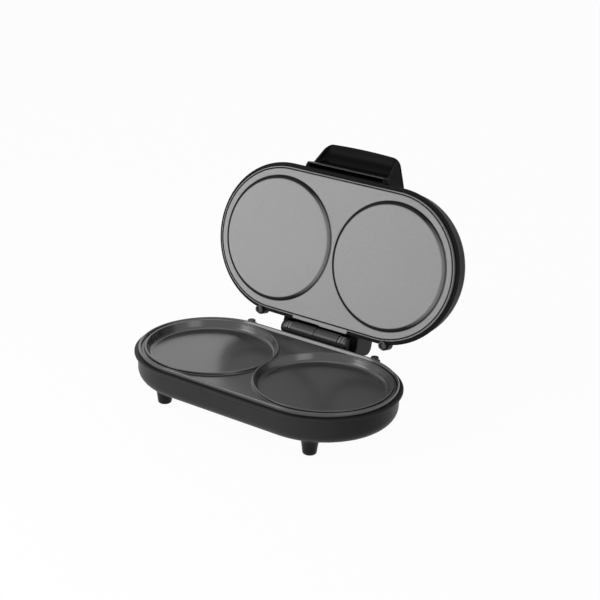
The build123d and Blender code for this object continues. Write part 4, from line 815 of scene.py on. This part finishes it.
# ---------------------------------------------------------------- hinge
def turned(name, outline, slot, middle=(hinge_y, hinge_z), order=(0, 1, 2)):
    """A solid of revolution on the base from its outline (distance along the axis, radius): a point is the outline's
    radius times the cosine and the sine of the turn, from the axis. The axis runs along x, unless another order of
    the three axes is given."""
    steps = 72
    turn = np.linspace(0, 2 * math.pi, steps, endpoint=False)
    x = np.broadcast_to(outline[:, 0:1], (len(outline), steps))
    points = np.stack([
        x, middle[0] + outline[:, 1:2] * np.cos(turn), middle[1] + outline[:, 1:2] * np.sin(turn)
    ], -1)
    points = points.reshape(-1, 3)[:, list(order)]
    return make_piece(name, points, grid_quads(len(outline), steps, True, True), "base", slot)


for side, label in ((-1, "left"), (1, "right")):
    # collar: a wide ring, a groove and a slim ring
    collar = profile(
        (0.0332, pin_way), (0.0332, 0.0070), (0.0335, 0.0075), (0.0338, 0.0076), (0.0364, 0.0076), (0.0367, 0.0075),
        (0.0368, 0.0070), (0.0369, 0.0062), (0.0376, 0.0062), (0.0377, 0.0070), (0.0379, 0.0075), (0.0382, 0.0076),
        (0.0400, 0.0076), (0.0404, 0.0074), (0.0406, 0.0070), (0.0406, pin_way),
    ) * (side, 1)
    ring = turned("hinge_collar_ring_" + label, collar, "collar")
    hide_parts("hinge_collar_" + label)


# ---------------------------------------------------------------- front feet
foot_shape = profile(
    (0.0040, 0.0), (0.0008, 0.0048), (0.0004, 0.0052), (0.0004, 0.0056), arc((0.0028, 0.0055), 0.0024, 180, 96, 7),
    (0.0060, 0.0083), (0.0100, 0.0088), (0.0140, 0.0095), (0.0170, 0.0103), (0.0190, 0.0112), (0.0203, 0.0123),
    (0.0208, 0.0131), (0.0214, 0.0131), (0.0214, 0.0),
)
for side, label in ((-1, "left"), (1, "right")):
    foot = turned("foot_post_" + label, foot_shape, "foot", (side * foot_x, foot_y), (1, 2, 0))
    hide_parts("foot_front_" + label)


# ---------------------------------------------------------------- studio
white_share = 0.965       # how much of the floor's look is plain white
scattered_air = 0.30      # the surroundings' strength as scattered light
floor_reach = 6.0


def seen_directly(tree):
    """1 for rays from the camera, off a glossy surface or through a clear one, and 0 for light that's scattered."""
    sight = tree.nodes.new("ShaderNodeLightPath")
    seen = sight.outputs["Is Camera Ray"]
    for way in ("Is Glossy Ray", "Is Transmission Ray"):
        either = tree.nodes.new("ShaderNodeMath")
        either.operation = "MAXIMUM"
        tree.links.new(seen, either.inputs[0])
        tree.links.new(sight.outputs[way], either.inputs[1])
        seen = either.outputs[0]
    return seen


def floor_finish():
    """Pale floor: matte, with a trace of grain; a camera ray sees it nearly white, so its shadows stay soft."""
    g = Graph("studio_floor")
    g.set(Base_Color=g.blend(g.noise(90.0, 2.0), grey(0.86), grey(0.90)), Roughness=0.85)
    white = g.node("ShaderNodeEmission", Color=(1.0, 1.0, 1.0, 1.0), Strength=1.0)
    mixed = g.node("ShaderNodeMixShader")
    g.feed(mixed.inputs[0], g.product(seen_directly(g.tree), white_share))
    g.feed(mixed.inputs[1], g.shader.outputs[0])
    g.feed(mixed.inputs[2], white.outputs[0])
    g.feed(g.output.inputs["Surface"], mixed.outputs[0])
    return g.material


floor_mesh = bpy.data.meshes.new("studio_floor")
floor_mesh.from_pydata(
    [(x * floor_reach, y * floor_reach, 0) for x, y in ((-1, -1), (1, -1), (1, 1), (-1, 1))], [], [(0, 1, 2, 3)]
)
floor_mesh.materials.append(floor_finish())
floor = bpy.data.objects.new("studio_floor", floor_mesh)
bpy.context.scene.collection.objects.link(floor)


def softbox(name, place, aim, width, height, power):
    """A rectangular lamp at a place, turned to a point."""
    lamp = bpy.data.lights.new(name, "AREA")
    lamp.shape = "RECTANGLE"
    lamp.size, lamp.size_y, lamp.energy = width, height, power
    holder = bpy.data.objects.new(name, lamp)
    bpy.context.scene.collection.objects.link(holder)
    holder.location = place
    holder.rotation_euler = (Vector(aim) - Vector(place)).to_track_quat("-Z", "Y").to_euler()
    return holder


softbox("key_left", (-1.0, -1.4, 1.0), (0, 0.05, 0.12), 0.9, 0.9, 8.5)
softbox("low_front", (-0.30, -0.95, 0.14), (0, 0.08, 0.06), 0.9, 0.24, 13.0).visible_glossy = False
softbox("fill_right", (1.3, -0.5, 0.45), (0.1, 0.1, 0.15), 0.6, 0.5, 1.4)
softbox("top_bank", (-0.2, 0.1, 1.8), (0, 0.05, 0.1), 1.3, 1.0, 2.0)

world = bpy.data.worlds.new("studio_air")
world.use_nodes = True
air = world.node_tree
backdrop = air.nodes["Background"]
strength = air.nodes.new("ShaderNodeMapRange")
air.links.new(seen_directly(air), strength.inputs["Value"])
strength.inputs["To Min"].default_value = scattered_air
strength.inputs["To Max"].default_value = 1.0
backdrop.inputs["Color"].default_value = (1.0, 1.0, 1.0, 1.0)
air.links.new(strength.outputs["Result"], backdrop.inputs["Strength"])
bpy.context.scene.world = world

# ---------------------------------------------------------------- camera
azimuth, height, roll = math.radians(34.213), math.radians(21.582), math.radians(2.052)
view_unit = 0.320         # the plate's length, in which the eye's place is given
eye_right, eye_above, eye_away = 0.1181, 0.2151, 5.1006
away = np.array([
    math.cos(height) * math.sin(azimuth), -math.cos(height) * math.cos(azimuth), math.sin(height)
])
level = np.array([math.cos(azimuth), math.sin(azimuth), 0.0])
upward = np.cross(away, level)
right = math.cos(roll) * level + math.sin(roll) * upward
above = -math.sin(roll) * level + math.cos(roll) * upward
eye = view_unit * (eye_right * right + eye_above * above + eye_away * away) + np.array([0, 0, rim_height])
lens = bpy.data.cameras.new("view")
lens.lens, lens.sensor_width, lens.sensor_fit = 87.669, 36.0, "HORIZONTAL"
lens.clip_start, lens.clip_end = 0.05, 40.0
camera = bpy.data.objects.new("view", lens)
bpy.context.scene.collection.objects.link(camera)
camera.matrix_world = Matrix([(right[k], above[k], away[k], eye[k]) for k in range(3)] + [(0, 0, 0, 1)])
bpy.context.scene.camera = camera
bpy.context.scene.view_settings.view_transform = "Standard"
